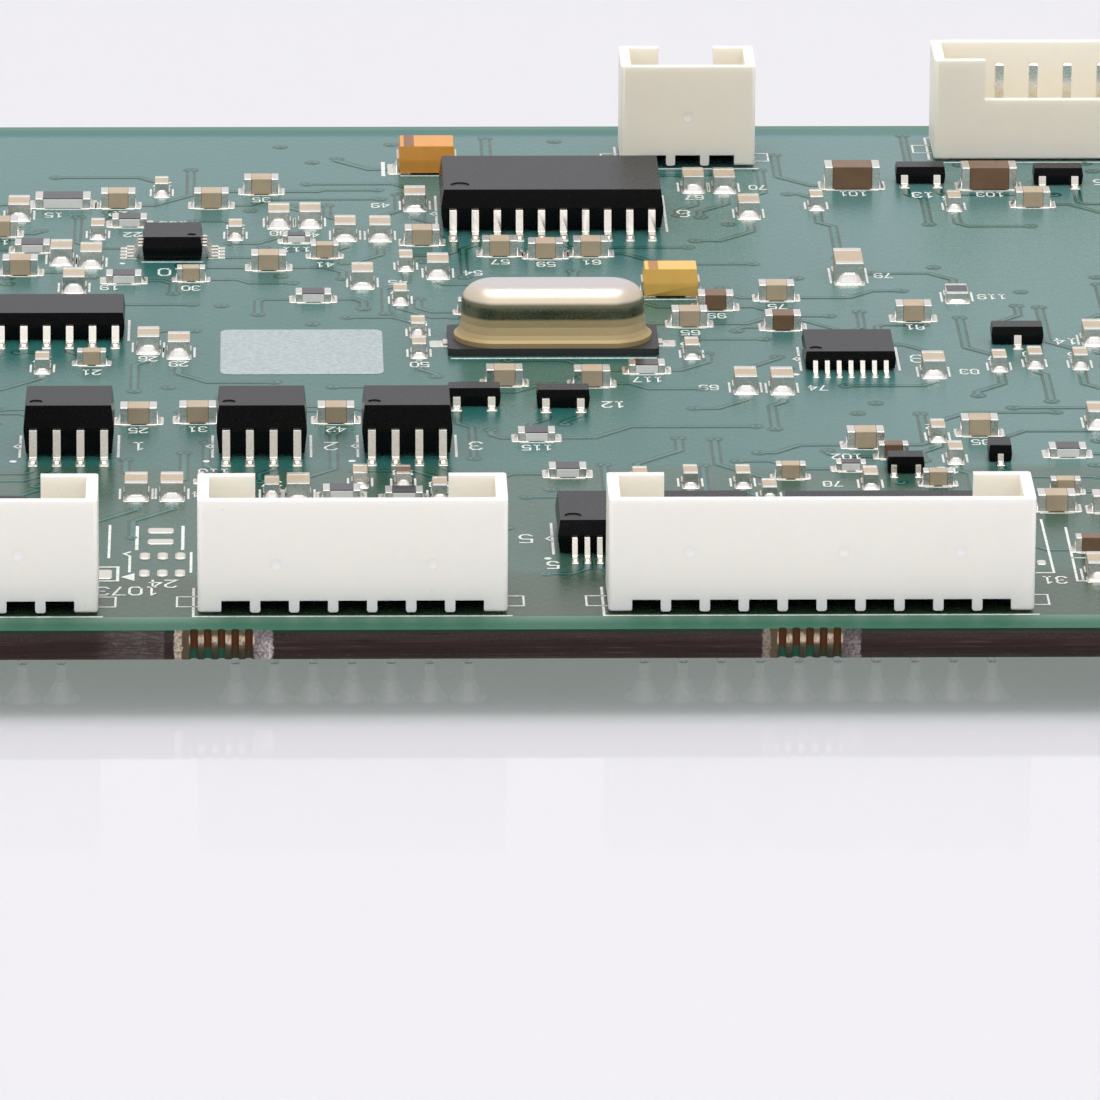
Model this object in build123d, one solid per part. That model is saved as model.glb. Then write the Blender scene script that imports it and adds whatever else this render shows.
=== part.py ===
from build123d import *
import os

# Populated control board with shrouded 2.0 mm pin headers, millimetres, +Z up.
# Origin: centre of the footprint, on the plane the pin tips stand on.
# The board rests on the tips of its through-hole pins.

# ---------------------------------------------------------------- driving sizes
BOARD_W = 100.0          # along X
BOARD_D = 96.0           # along Y
BOARD_T = 1.57           # laminate thickness
TIP_DROP = 1.90          # how far the pins stand out under the board
HOLE_R = 1.6             # corner mounting holes
HOLE_SX, HOLE_SY = 92.0, 88.0

DATUM_X = -14.32         # pin 1 of the middle front header
DATUM_Y = -BOARD_D / 2 + 2.47   # front faces of the front headers

PITCH = 2.0              # header pitch
END = 1.95               # pin axis to housing end
HOUS_D = 4.80            # housing depth
HOUS_H = 6.00            # housing height
LIFT = 0.13              # stand-off under the housing
WALL = 0.55              # long walls
SIDE = 0.60              # end walls
FLOOR = 1.60             # housing floor, top face above the base
EAR = 2.97               # width left standing at each end of the rear wall
NOTCH = 2.40             # depth of the rear wall's wide cut-out
SLOT_W, SLOT_H, SLOT_D = 1.466, 0.63, 3.40   # slot under each pin
PIN = 0.50               # square pin
PIN_Y = 2.60             # pin row behind the front face
PIN_UP = 5.30            # pin tip above the housing base
BARREL_R = 0.475         # plated hole
TAB_X = (-0.72, 29.36)   # middles of the two break-off tabs
TAB_PITCH, TAB_R, TAB_N = 0.70, 0.20, 5

ZB = TIP_DROP            # board underside
ZT = TIP_DROP + BOARD_T  # board top

os.makedirs("parts", exist_ok=True)


# ---------------------------------------------------------------- helpers
def at(x, y):
    """Position measured from pin 1 of the middle header and the front faces."""
    return x + DATUM_X, y + DATUM_Y


def block(x0, x1, y0, y1, z0, z1):
    return Pos((x0 + x1) / 2, (y0 + y1) / 2, (z0 + z1) / 2) * Box(x1 - x0, y1 - y0, z1 - z0)


def rod(x, y, r, z0, z1):
    return Pos(x, y, (z0 + z1) / 2) * Cylinder(r, z1 - z0)


def solids(shape):
    return list(shape.solids())


def save(name, items):
    out = []
    for it in items:
        out += solids(it)
    shape = out[0] if len(out) == 1 else Compound(out)
    export_step(shape, "parts/%s.step" % name)
    print("%-32s %3d solids  %9.3f mm3" % (name, len(out), sum(s.volume for s in out)))


def place(items, x, y, turn=0.0):
    px, py = at(x, y)
    loc = Location((px, py, ZT), (0, 0, turn))
    return [s.moved(loc) for it in items for s in solids(it)]


# ---------------------------------------------------------------- headers
# name, pins, x of the first pin, y of the front face, turned round, dimples (x from pin 1, height)
HEADERS = [
    ("left_header", 7, -21.00, 0.00, False, ((9.9, 3.1), (2.0, 3.1))),
    ("middle_header", 7, 0.00, 0.00, False, ((2.1, 2.57), (10.1, 2.57))),
    ("right_header", 10, 21.07, 0.00, False, ((2.2, 3.2), (10.1, 3.2), (16.1, 3.2))),
    ("rear_small_header", 3, 24.45, 84.40, False, ((2.0, 3.0),)),
    ("rear_wide_header", 7, 42.95, 85.70, True, ((2.1, 3.0), (10.1, 3.0))),
]


def housing(n, dimples):
    length = (n - 1) * PITCH + 2 * END
    x0, x1 = -END, -END + length
    ear = EAR if n > 3 else 2.35
    body = block(x0, x1, 0, HOUS_D, 0, HOUS_H)
    body = fillet(body.edges().filter_by(Axis.Z), 0.22)
    body -= block(x0 + SIDE, x1 - SIDE, WALL, HOUS_D - WALL, FLOOR, HOUS_H + 1)
    body -= block(x0 + ear, x1 - ear, HOUS_D - WALL - 0.2, HOUS_D + 1, HOUS_H - NOTCH, HOUS_H + 1)
    for i in range(n):
        cx = i * PITCH
        body -= block(cx - SLOT_W / 2, cx + SLOT_W / 2, -1, SLOT_D, -1, SLOT_H)
    low = body.edges().filter_by(Axis.Y).filter_by_position(Axis.Z, -0.01, 0.01)
    body = fillet(low, 0.14)
    for i in range(n):
        cx = i * PITCH
        body -= block(cx - PIN / 2, cx + PIN / 2, PIN_Y - PIN / 2, PIN_Y + PIN / 2, 0, FLOOR + 1)
    for dx, dz in dimples:
        body -= Pos(dx, 0, dz) * Rot(90, 0, 0) * Cylinder(0.27, 0.09)
    # four small stand-off pads keep the base off the board
    for cx in (x0 + 0.72, x1 - 0.72):
        for cy in (0.95, HOUS_D - 0.8):
            body += rod(cx, cy, 0.38, -LIFT, 0.2)
    return body


def pin():
    total = TIP_DROP + BOARD_T + LIFT + PIN_UP
    p = Pos(0, 0, total / 2) * Box(PIN, PIN, total)
    ends = p.edges().filter_by(Axis.Z, reverse=True)
    return chamfer(ends, 0.10)


def joint():
    """Solder filling the plated hole, with the cone it draws up the pin below."""
    s = rod(0, 0, BARREL_R, ZB, ZT)
    s += Pos(0, 0, ZB - 0.45) * Cone(0.40, 0.82, 0.90)
    s += rod(0, 0, 0.66, ZT, ZT + 0.06)
    s -= Box(PIN, PIN, 20)
    return s


pin_spots = []
the_pin, the_joint = pin(), joint()
for name, n, hx, hy, turned, dimples in HEADERS:
    h = housing(n, dimples)
    if turned:
        # rotated half a turn about the middle of its own outline
        cx = (n - 1) * PITCH / 2
        h = Pos(cx, HOUS_D / 2, 0) * Rot(0, 0, 180) * Pos(-cx, -HOUS_D / 2, 0) * h
    px, py = at(hx, hy)
    save(name + "_housing", [h.moved(Location((px, py, ZT + LIFT)))])
    row_y = HOUS_D - PIN_Y if turned else PIN_Y
    spots = [(px + i * PITCH, py + row_y) for i in range(n)]
    pin_spots += spots
    save(name + "_pins", [the_pin.moved(Location((x, y, 0))) for x, y in spots])
    save(name + "_solder", [the_joint.moved(Location((x, y, 0))) for x, y in spots])

# ---------------------------------------------------------------- board
board = block(-BOARD_W / 2, BOARD_W / 2, -BOARD_D / 2, BOARD_D / 2, ZB, ZT)
cuts = [rod(x, y, BARREL_R, ZB - 1, ZT + 1) for x, y in pin_spots]
for sx in (-1, 1):
    for sy in (-1, 1):
        cuts.append(rod(sx * HOLE_SX / 2, sy * HOLE_SY / 2, HOLE_R, ZB - 1, ZT + 1))
for tx in TAB_X:
    for i in range(TAB_N):
        x, _ = at(tx + (i - (TAB_N - 1) / 2) * TAB_PITCH, 0)
        cuts.append(rod(x, -BOARD_D / 2, TAB_R, ZB - 1, ZT + 1))
board = board.cut(*cuts) if hasattr(board, "cut") else board - cuts
save("board", [board])


# ---------------------------------------------------------------- leaded packages
def moulded(w, d, z0, z1, zm, band, draft=7.0, dot=None):
    """Moulded body, drafted both ways from the band where the leads come out."""
    lo, hi = zm - band / 2, zm + band / 2
    rect = Rectangle(w, d)
    body = Pos(0, 0, lo) * extrude(rect, amount=band)
    body += Pos(0, 0, hi) * extrude(rect, amount=z1 - hi, taper=draft)
    body += Pos(0, 0, lo) * mirror(extrude(rect, amount=lo - z0, taper=draft), about=Plane.XY)
    if dot:
        body -= Pos(dot[0], dot[1], z1) * Cylinder(dot[2], 0.12)
    return body


def gull(y0, y1, ze, t, w, foot, x):
    """One gull-wing lead, from the body face y0 to the toe y1, centred on x."""
    a = y0 + 0.30 * (y1 - foot - y0)
    b = y1 - foot
    pts = [(y0, ze + t / 2), (a + t * 0.9, ze + t / 2), (b + t * 0.55, t), (y1, t),
           (y1, 0), (b - t * 0.45, 0), (a, ze - t / 2), (y0, ze - t / 2)]
    face = make_face(Polyline(*[(0, p, q) for p, q in pts], close=True))
    return Pos(x - w / 2, 0, 0) * extrude(face, amount=w, dir=(1, 0, 0))


def two_rows(n, pitch, y0, y1, ze, t, w, foot):
    out = []
    for i in range(n):
        x = (i - (n - 1) / 2) * pitch
        lead = gull(y0, y1, ze, t, w, foot, x)
        out.append(lead)
        out.append(mirror(lead, about=Plane.XZ))
    return out


def package(body_name, lead_name, spots, body, leads):
    """spots: x, y, turn."""
    b, l = [], []
    for x, y, turn in spots:
        b += place([body], x, y, turn)
        l += place(leads, x, y, turn)
    save(body_name, b)
    save(lead_name, l)


# tall eight-lead couplers
package("optocoupler_bodies", "optocoupler_leads",
        [(-8.98, 29.25, 0), (1.37, 29.20, 0), (9.18, 29.20, 0)],
        moulded(4.85, 3.90, 0.20, 2.88, 1.52, 0.22, 6.0, (-1.75, -1.10, 0.35)),
        two_rows(4, 1.27, 1.95, 3.00, 1.52, 0.20, 0.42, 0.52))
# fine-pitch 28-lead circuits
package("fine_pitch_ic_bodies", "fine_pitch_ic_leads",
        [(-16.00, 12.10, 0), (21.90, 12.71, 0), (33.90, 12.60, 0)],
        moulded(10.20, 5.30, 0.10, 1.85, 0.95, 0.17, 8.0, (-4.30, -1.75, 0.45)),
        two_rows(14, 0.65, 2.65, 3.90, 0.95, 0.15, 0.29, 0.62))
# 16-lead narrow circuit
package("narrow_ic_body", "narrow_ic_leads", [(-11.18, 51.10, 0)],
        moulded(9.90, 3.90, 0.15, 1.60, 0.85, 0.20, 8.0, (-4.10, -1.15, 0.40)),
        two_rows(8, 1.27, 1.95, 3.00, 0.85, 0.20, 0.42, 0.55))
# 20-lead wide circuit
package("wide_ic_body", "wide_ic_leads", [(18.13, 74.60, 0)],
        moulded(12.80, 7.50, 0.20, 2.50, 1.30, 0.25, 8.0, (-5.30, -2.60, 0.55)),
        two_rows(10, 1.27, 3.75, 5.15, 1.30, 0.25, 0.42, 0.75))
# 14-lead thin circuit
package("thin_ic_body", "thin_ic_leads", [(33.85, 45.30, 0)],
        moulded(5.00, 4.40, 0.10, 1.10, 0.58, 0.14, 8.0, (-1.90, -1.50, 0.35)),
        two_rows(7, 0.65, 2.20, 3.20, 0.58, 0.13, 0.27, 0.55))
# 8-lead small circuit, leads to left and right
package("small_ic_body", "small_ic_leads", [(-3.68, 66.60, 90)],
        moulded(3.20, 3.40, 0.10, 1.40, 0.70, 0.15, 8.0, (-1.00, -1.10, 0.25)),
        two_rows(4, 0.65, 1.70, 2.62, 0.70, 0.15, 0.32, 0.48))


def sot(w, d, h, t, lw, off, reach, foot):
    """Three-lead package: two leads towards -Y, one towards +Y."""
    body = moulded(w, d, 0.05, h, h * 0.52, t, 7.0)
    y0, y1, ze = d / 2, reach, h * 0.52
    one = gull(y0, y1, ze, t, lw, foot, 0)
    two = [mirror(gull(y0, y1, ze, t, lw, foot, s * off), about=Plane.XZ) for s in (-1, 1)]
    return body, [one] + two


body, leads = sot(2.90, 1.30, 1.05, 0.13, 0.42, 0.95, 1.20, 0.32)
package("transistor_bodies", "transistor_leads",
        [(17.80, 36.75, 0), (12.95, 37.10, 0), (43.40, 48.60, 180), (39.95, 81.40, 0), (48.00, 81.10, 0)],
        body, leads)
body, leads = sot(2.00, 1.25, 0.95, 0.12, 0.30, 0.65, 1.05, 0.25)
package("small_transistor_body", "small_transistor_leads", [(35.80, 24.60, 0)], body, leads)

# two-lead diode, lying front to back
body = moulded(1.25, 1.70, 0.05, 0.95, 0.45, 0.12, 6.0)
lead = gull(0.85, 1.25, 0.45, 0.12, 0.32, 0.24, 0)
package("diode_body", "diode_leads", [(41.00, 26.90, 0)], body,
        [lead, mirror(lead, about=Plane.XZ)])

# ---------------------------------------------------------------- crystal
XT_X, XT_Y = 17.55, 48.40
XT_BASE, XT_TOP = 0.42, 3.60
base = block(-5.85, 5.85, -2.40, 2.40, 0.0, XT_BASE)
base = fillet(base.edges().filter_by(Axis.Z), 0.35)
for s in (-1, 1):
    base -= block(s * 5.00 - 1.10, s * 5.00 + 1.10, -0.45, 0.45, -1, 0.16)
save("crystal_base", place([base], XT_X, XT_Y))
# can: flat rim, skirt sweeping in to the wall, wall, well rounded top
can = Pos(0, 0, XT_BASE) * extrude(SlotOverall(11.00, 4.65), amount=0.26)
SKIRT = [(0.68, 10.86, 4.51), (0.82, 10.60, 4.25), (1.06, 10.38, 4.03), (1.50, 10.20, 3.85)]
for (z0, l0, w0), (z1, l1, w1) in zip(SKIRT, SKIRT[1:]):
    can += loft([Pos(0, 0, z0) * SlotOverall(l0, w0), Pos(0, 0, z1) * SlotOverall(l1, w1)], ruled=True)
wall = Pos(0, 0, SKIRT[-1][0]) * extrude(SlotOverall(10.20, 3.85), amount=XT_TOP - SKIRT[-1][0])
can += fillet(wall.faces().sort_by(Axis.Z)[-1].edges(), 1.20)
save("crystal_can", place([can], XT_X, XT_Y))
tabs = []
for s in (-1, 1):
    x0, x1 = sorted((s * 3.90, s * 6.45))
    lo, hi = max(x0, -6.10), min(x1, 6.10)
    tabs.append(block(lo, hi, -0.45, 0.45, 0.0, 0.16))
save("crystal_terminals", place(tabs, XT_X, XT_Y))


# ---------------------------------------------------------------- moulded tantalum capacitors
def tantalum(l, w, h):
    body = moulded(l - 0.20, w, 0.12, h, h * 0.50, 0.14, 6.0)
    ends = []
    for s in (-1, 1):
        a = s * (l / 2 - 0.10)
        b = s * (l / 2)
        c = s * (l / 2 - 0.80)
        strap = block(min(a, b), max(a, b), -w * 0.38, w * 0.38, 0.0, h * 0.50 + 0.07)
        strap += block(min(b, c), max(b, c), -w * 0.38, w * 0.38, 0.0, 0.12)
        ends.append(strap)
    return body, ends


tb, te = tantalum(3.50, 2.60, 1.75)
save("tantalum_capacitor_orange", place([tb], 11.10, 84.15))
ta, tf = tantalum(3.30, 1.90, 1.70)
save("tantalum_capacitor_yellow", place([ta], 24.45, 58.20))
save("tantalum_terminals", place(te, 11.10, 84.15) + place(tf, 24.45, 58.20))

# ---------------------------------------------------------------- chip parts
# length, width, height, end length
SIZES = {"c12": (3.20, 1.60, 1.20, 0.50), "c08": (2.00, 1.25, 0.95, 0.42), "c06": (1.60, 0.80, 0.80, 0.32),
         "b12": (3.20, 1.60, 1.35, 0.45), "b08": (2.00, 1.25, 0.90, 0.42), "b06": (1.60, 0.80, 0.80, 0.32),
         "r12": (3.20, 1.60, 0.60, 0.45), "r08": (2.00, 1.25, 0.52, 0.38), "r06": (1.60, 0.80, 0.46, 0.30)}
CHIPS = [
    ("c08", -5.3, 20.7, "y"), ("c08", -3.4, 20.7, "y"), ("c06", 1.9, 20.7, "y"), ("c08", 3.3, 20.5, "y"),
    ("r08", 5.6, 20.3, "x"), ("c06", 6.6, 22.7, "y"), ("b06", 8.9, 22.6, "y"), ("r08", 8.9, 19.9, "x"),
    ("c06", 10.8, 20.5, "y"), ("c08", -5.3, 33.9, "x"), ("c08", -2.1, 34.1, "x"), ("c08", 5.4, 34.0, "x"),
    ("c06", -10.7, 43.8, "y"), ("c06", -8.0, 44.8, "x"), ("c08", -4.9, 47.8, "y"), ("c08", -3.2, 46.8, "y"),
    ("c08", 14.7, 40.9, "x"), ("c08", 19.5, 40.7, "x"), ("r08", 16.2, 30.6, "x"), ("r08", 17.7, 24.1, "x"),
    ("c06", 21.5, 22.2, "y"), ("c06", 24.2, 22.5, "y"), ("c06", 27.0, 22.5, "y"), ("c06", 29.6, 23.5, "x"),
    ("c06", 28.3, 20.0, "y"), ("c08", 27.9, 39.9, "y"), ("c08", 29.9, 39.8, "y"), ("c08", 33.9, 29.2, "x"),
    ("b06", 35.3, 27.1, "x"), ("r06", 32.9, 24.9, "x"), ("c06", 33.8, 22.2, "y"), ("c06", 37.9, 30.7, "y"),
    ("c06", 38.6, 26.7, "y"), ("c08", 40.2, 31.4, "x"), ("r08", 44.7, 27.5, "x"), ("c06", 37.4, 22.2, "x"),
    ("c08", 38.4, 42.8, "y"), ("b08", 30.5, 51.5, "x"), ("c06", 42.1, 43.8, "y"), ("c06", 44.1, 44.4, "y"),
    ("c08", 47.7, 48.9, "y"), ("c08", 46.8, 33.2, "y"), ("c08", 43.4, 17.8, "x"), ("c08", 46.3, 17.6, "x"),
    ("c06", 44.1, 20.7, "x"), ("b06", 44.7, 10.6, "x"), ("c08", 44.8, 6.4, "y"), ("c12", 34.7, 61.7, "y"),
    ("b08", 26.9, 55.5, "x"), ("c08", 30.4, 57.3, "x"), ("c08", 25.3, 52.2, "x"), ("c08", -12.6, 74.5, "y"),
    ("c08", -6.9, 76.5, "x"), ("c08", -1.5, 76.5, "x"), ("c08", -10.0, 65.3, "y"), ("c08", -8.3, 64.7, "y"),
    ("c06", -0.1, 70.2, "y"), ("c08", 1.8, 63.6, "x"), ("c08", 6.2, 70.2, "y"), ("c08", 8.2, 70.1, "y"),
    ("c08", 7.1, 60.5, "y"), ("c06", 5.0, 65.9, "x"), ("c08", 10.3, 76.4, "y"), ("c08", 10.6, 68.7, "x"),
    ("r12", -10.1, 76.7, "x"), ("r08", -11.7, 67.3, "x"), ("c08", 26.6, 80.2, "y"), ("c08", 28.4, 80.1, "y"),
    ("c08", 15.0, 66.4, "x"), ("c08", 17.6, 65.9, "x"), ("c08", 20.2, 66.3, "x"), ("c08", -12.3, 62.7, "x"),
    ("b12", 35.9, 80.5, "x"), ("b12", 43.9, 80.3, "x"),
    ("c08", -19.5, 20.6, "y"), ("c08", -17.4, 20.6, "y"), ("r08", -14.4, 20.4, "x"), ("c08", -19.6, 52.0, "y"),
    ("c08", -13.6, 70.6, "x"), ("c06", -8.0, 70.4, "y"), ("r08", -6.2, 72.6, "x"), ("c08", 2.4, 72.8, "y"),
    ("c08", 4.2, 72.9, "y"), ("r06", 3.4, 69.0, "x"), ("c06", -2.6, 61.2, "x"), ("r08", -6.4, 61.0, "x"),
    ("c08", -9.2, 59.6, "y"), ("c06", 9.6, 63.8, "y"), ("c08", 11.4, 62.4, "y"), ("r08", 4.3, 57.2, "x"),
    ("c06", 9.2, 57.0, "y"), ("c08", 1.4, 79.4, "x"), ("c06", -4.4, 79.2, "y"), ("c06", 13.2, 54.6, "x"),
    ("c06", 16.8, 55.2, "y"), ("c06", 20.4, 54.8, "x"), ("r08", 22.6, 43.2, "x"), ("c06", 25.2, 46.3, "y"),
    ("c06", 10.1, 50.6, "y"), ("c06", 10.1, 46.6, "y"), ("c08", 37.9, 53.2, "x"), ("r08", 40.6, 57.4, "y"),
    ("c06", 46.6, 44.2, "y"), ("r08", 49.6, 30.2, "x"), ("c08", 49.2, 40.6, "y"), ("c06", 33.6, 76.2, "y"),
    ("c06", 41.6, 76.0, "y"), ("c08", 46.2, 76.4, "x"), ("c08", 29.6, 74.6, "y"), ("r06", -1.2, 22.9, "x"),
    ("c06", 0.2, 20.6, "y"),
]
groups = {k: [] for k in ("chip_capacitor_bodies", "chip_capacitor_terminals", "brown_capacitor_bodies",
                          "brown_capacitor_terminals", "chip_resistor_bodies", "chip_resistor_coats",
                          "chip_resistor_terminals")}
for kind, x, y, way in CHIPS:
    l, w, h, e = SIZES[kind]
    turn = 0 if way == "x" else 90
    mid = block(-l / 2 + e, l / 2 - e, -w / 2, w / 2, 0, h)
    caps = [block(-l / 2, -l / 2 + e, -w / 2, w / 2, 0, h), block(l / 2 - e, l / 2, -w / 2, w / 2, 0, h)]
    if kind[0] == "r":
        coat = 0.05
        mid = block(-l / 2 + e, l / 2 - e, -w / 2, w / 2, 0, h - coat)
        top = block(-l / 2 + e, l / 2 - e, -w / 2 + 0.04, w / 2 - 0.04, h - coat, h)
        groups["chip_resistor_bodies"] += place([mid], x, y, turn)
        groups["chip_resistor_coats"] += place([top], x, y, turn)
        groups["chip_resistor_terminals"] += place(caps, x, y, turn)
    else:
        stem = "brown" if kind[0] == "b" else "chip"
        groups[stem + "_capacitor_bodies"] += place([mid], x, y, turn)
        groups[stem + "_capacitor_terminals"] += place(caps, x, y, turn)
for name, items in groups.items():
    save(name, items)
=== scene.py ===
import bpy, math, random
import numpy as np
from mathutils import Matrix, Vector


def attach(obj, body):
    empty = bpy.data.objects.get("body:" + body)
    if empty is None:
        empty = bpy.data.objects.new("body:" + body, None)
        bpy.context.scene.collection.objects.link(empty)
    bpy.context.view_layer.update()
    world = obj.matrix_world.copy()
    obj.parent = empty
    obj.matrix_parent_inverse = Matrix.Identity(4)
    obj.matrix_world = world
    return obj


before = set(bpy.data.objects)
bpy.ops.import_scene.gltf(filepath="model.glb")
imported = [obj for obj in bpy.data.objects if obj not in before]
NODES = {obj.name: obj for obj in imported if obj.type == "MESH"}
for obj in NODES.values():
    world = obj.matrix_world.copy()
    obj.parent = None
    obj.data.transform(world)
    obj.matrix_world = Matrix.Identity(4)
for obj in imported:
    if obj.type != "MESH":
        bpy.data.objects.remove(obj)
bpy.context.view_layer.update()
rng = random.Random(11)

# ------------------------------------------------------------------ places
# Working positions are in millimetres: x from pin 1 of the middle front header,
# y from the front faces of the front headers, z above the board's top face.
DX, DY, ZT, ZB = -14.32, -45.53, 3.47, 1.90
HALF_W, HALF_D = 50.0, 48.0
X_LO, X_HI, Y_LO, Y_HI = -HALF_W - DX, HALF_W - DX, -HALF_D - DY, HALF_D - DY
HEADERS = [(7, -21.00, 0.00, False), (7, 0.00, 0.00, False), (10, 21.07, 0.00, False),
           (3, 24.45, 84.40, False), (7, 42.95, 85.70, True)]
PIN_ROW = 2.60


def world_pt(x, y, z, under=False):
    """Millimetres at the board to metres in the row's frame."""
    return ((x + DX) / 1000, (y + DY) / 1000, ((ZB - z) if under else (ZT + z)) / 1000)


# ------------------------------------------------------------------ camera
cam_data = bpy.data.cameras.new("camera")
cam = bpy.data.objects.new("camera", cam_data)
bpy.context.scene.collection.objects.link(cam)
yaw, pitch, roll = math.radians(1.6259), math.radians(17.7552), math.radians(-0.3471)
fw = Vector((math.sin(yaw) * math.cos(pitch), math.cos(yaw) * math.cos(pitch), -math.sin(pitch)))
rt = Vector((math.cos(yaw), -math.sin(yaw), 0.0))
dn = fw.cross(rt)
R = math.cos(roll) * rt + math.sin(roll) * dn
D = -math.sin(roll) * rt + math.cos(roll) * dn
m = Matrix.Identity(4)
for i in range(3):
    m[i][0], m[i][1], m[i][2] = R[i], -D[i], -fw[i]
m[0][3], m[1][3], m[2][3] = (1.2078 + DX) / 1000, (-524.7614 + DY) / 1000, 0.1750294
cam.matrix_world = m
cam_data.sensor_width = 36.0
cam_data.lens = 10764.07 / 1100.0 * 36.0
cam_data.clip_start, cam_data.clip_end = 0.01, 20.0
bpy.context.scene.camera = cam
bpy.context.scene.view_settings.view_transform = "Standard"
bpy.context.scene.view_settings.look = "None"


# ------------------------------------------------------------------ node helpers
class Mat:
    def __init__(self, name):
        self.m = bpy.data.materials.new(name)
        self.m.use_nodes = True
        self.t = self.m.node_tree
        self.b = self.t.nodes["Principled BSDF"]
        self.geo = self.t.nodes.new("ShaderNodeNewGeometry")
        # all patterns are laid out in millimetres
        self.mm = self.t.nodes.new("ShaderNodeVectorMath")
        self.mm.operation = "SCALE"
        self.mm.inputs["Scale"].default_value = 1000.0
        self.t.links.new(self.geo.outputs["Position"], self.mm.inputs[0])
        self.p = self.mm.outputs[0]
        self.sep = None

    def set(self, **kw):
        names = {"rough": "Roughness", "metal": "Metallic", "spec": "Specular IOR Level", "ior": "IOR",
                 "coat": "Coat Weight", "coat_rough": "Coat Roughness", "sss": "Subsurface Weight",
                 "sss_scale": "Subsurface Scale", "trans": "Transmission Weight"}
        for k, v in kw.items():
            if k == "color":
                self.b.inputs["Base Color"].default_value = (*v, 1)
            elif k == "sss_radius":
                self.b.inputs["Subsurface Radius"].default_value = v
            else:
                self.b.inputs[names[k]].default_value = v
        return self

    def link(self, a, b):
        self.t.links.new(a, b)

    def xyz(self):
        if not self.sep:
            self.sep = self.t.nodes.new("ShaderNodeSeparateXYZ")
            self.link(self.p, self.sep.inputs[0])
        return self.sep.outputs

    def noise(self, scale, detail=3.0, rough=0.55, stretch=None, offset=None):
        n = self.t.nodes.new("ShaderNodeTexNoise")
        n.inputs["Scale"].default_value = scale
        n.inputs["Detail"].default_value = detail
        n.inputs["Roughness"].default_value = rough
        src = self.p
        if stretch or offset:
            mp = self.t.nodes.new("ShaderNodeMapping")
            mp.inputs["Scale"].default_value = stretch or (1, 1, 1)
            mp.inputs["Location"].default_value = offset or (0, 0, 0)
            self.link(src, mp.inputs["Vector"])
            src = mp.outputs[0]
        self.link(src, n.inputs["Vector"])
        return n.outputs["Fac"]

    def voronoi(self, scale, feature="F1", stretch=None):
        n = self.t.nodes.new("ShaderNodeTexVoronoi")
        n.feature = feature
        n.inputs["Scale"].default_value = scale
        src = self.p
        if stretch:
            mp = self.t.nodes.new("ShaderNodeMapping")
            mp.inputs["Scale"].default_value = stretch
            self.link(src, mp.inputs["Vector"])
            src = mp.outputs[0]
        self.link(src, n.inputs["Vector"])
        return n.outputs["Distance"]

    def ramp(self, fac, stops, mode="LINEAR"):
        r = self.t.nodes.new("ShaderNodeValToRGB")
        r.color_ramp.interpolation = mode
        els = r.color_ramp.elements
        while len(els) < len(stops):
            els.new(0.5)
        for e, (pos, c) in zip(els, stops):
            e.position = pos
            e.color = (*c, 1) if not isinstance(c, (int, float)) else (c, c, c, 1)
        self.link(fac, r.inputs[0])
        return r.outputs[0]

    def math(self, op, a, b=None, c=None, clamp=False):
        n = self.t.nodes.new("ShaderNodeMath")
        n.operation = op
        n.use_clamp = clamp
        for i, v in enumerate((a, b, c)):
            if v is None:
                continue
            if isinstance(v, (int, float)):
                n.inputs[i].default_value = v
            else:
                self.link(v, n.inputs[i])
        return n.outputs[0]

    def mix(self, fac, a, b, mode="MIX"):
        n = self.t.nodes.new("ShaderNodeMix")
        n.data_type = "RGBA"
        n.blend_type = mode
        for sock, v in ((n.inputs["Factor"], fac), (n.inputs["A"], a), (n.inputs["B"], b)):
            pass
        ins = [s for s in n.inputs if s.enabled]
        f = [s for s in ins if s.name == "Factor"][0]
        sa = [s for s in ins if s.name == "A"][0]
        sb = [s for s in ins if s.name == "B"][0]
        for sock, v in ((f, fac), (sa, a), (sb, b)):
            if isinstance(v, (int, float)):
                sock.default_value = v
            elif isinstance(v, tuple):
                sock.default_value = (*v, 1)
            else:
                self.link(v, sock)
        return [o for o in n.outputs if o.enabled][0]

    def step(self, v, lo, hi):
        n = self.t.nodes.new("ShaderNodeMapRange")
        n.interpolation_type = "SMOOTHSTEP"
        n.inputs["From Min"].default_value = lo
        n.inputs["From Max"].default_value = hi
        self.link(v, n.inputs["Value"])
        return n.outputs[0]

    def bump(self, height, dist_mm, strength=1.0):
        b = self.t.nodes.new("ShaderNodeBump")
        b.inputs["Strength"].default_value = strength
        b.inputs["Distance"].default_value = dist_mm / 1000
        self.link(height, b.inputs["Height"])
        self.link(b.outputs[0], self.b.inputs["Normal"])
        return self

    def color(self, out):
        self.link(out, self.b.inputs["Base Color"])
        return self

    def rough(self, out):
        self.link(out, self.b.inputs["Roughness"])
        return self


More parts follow.
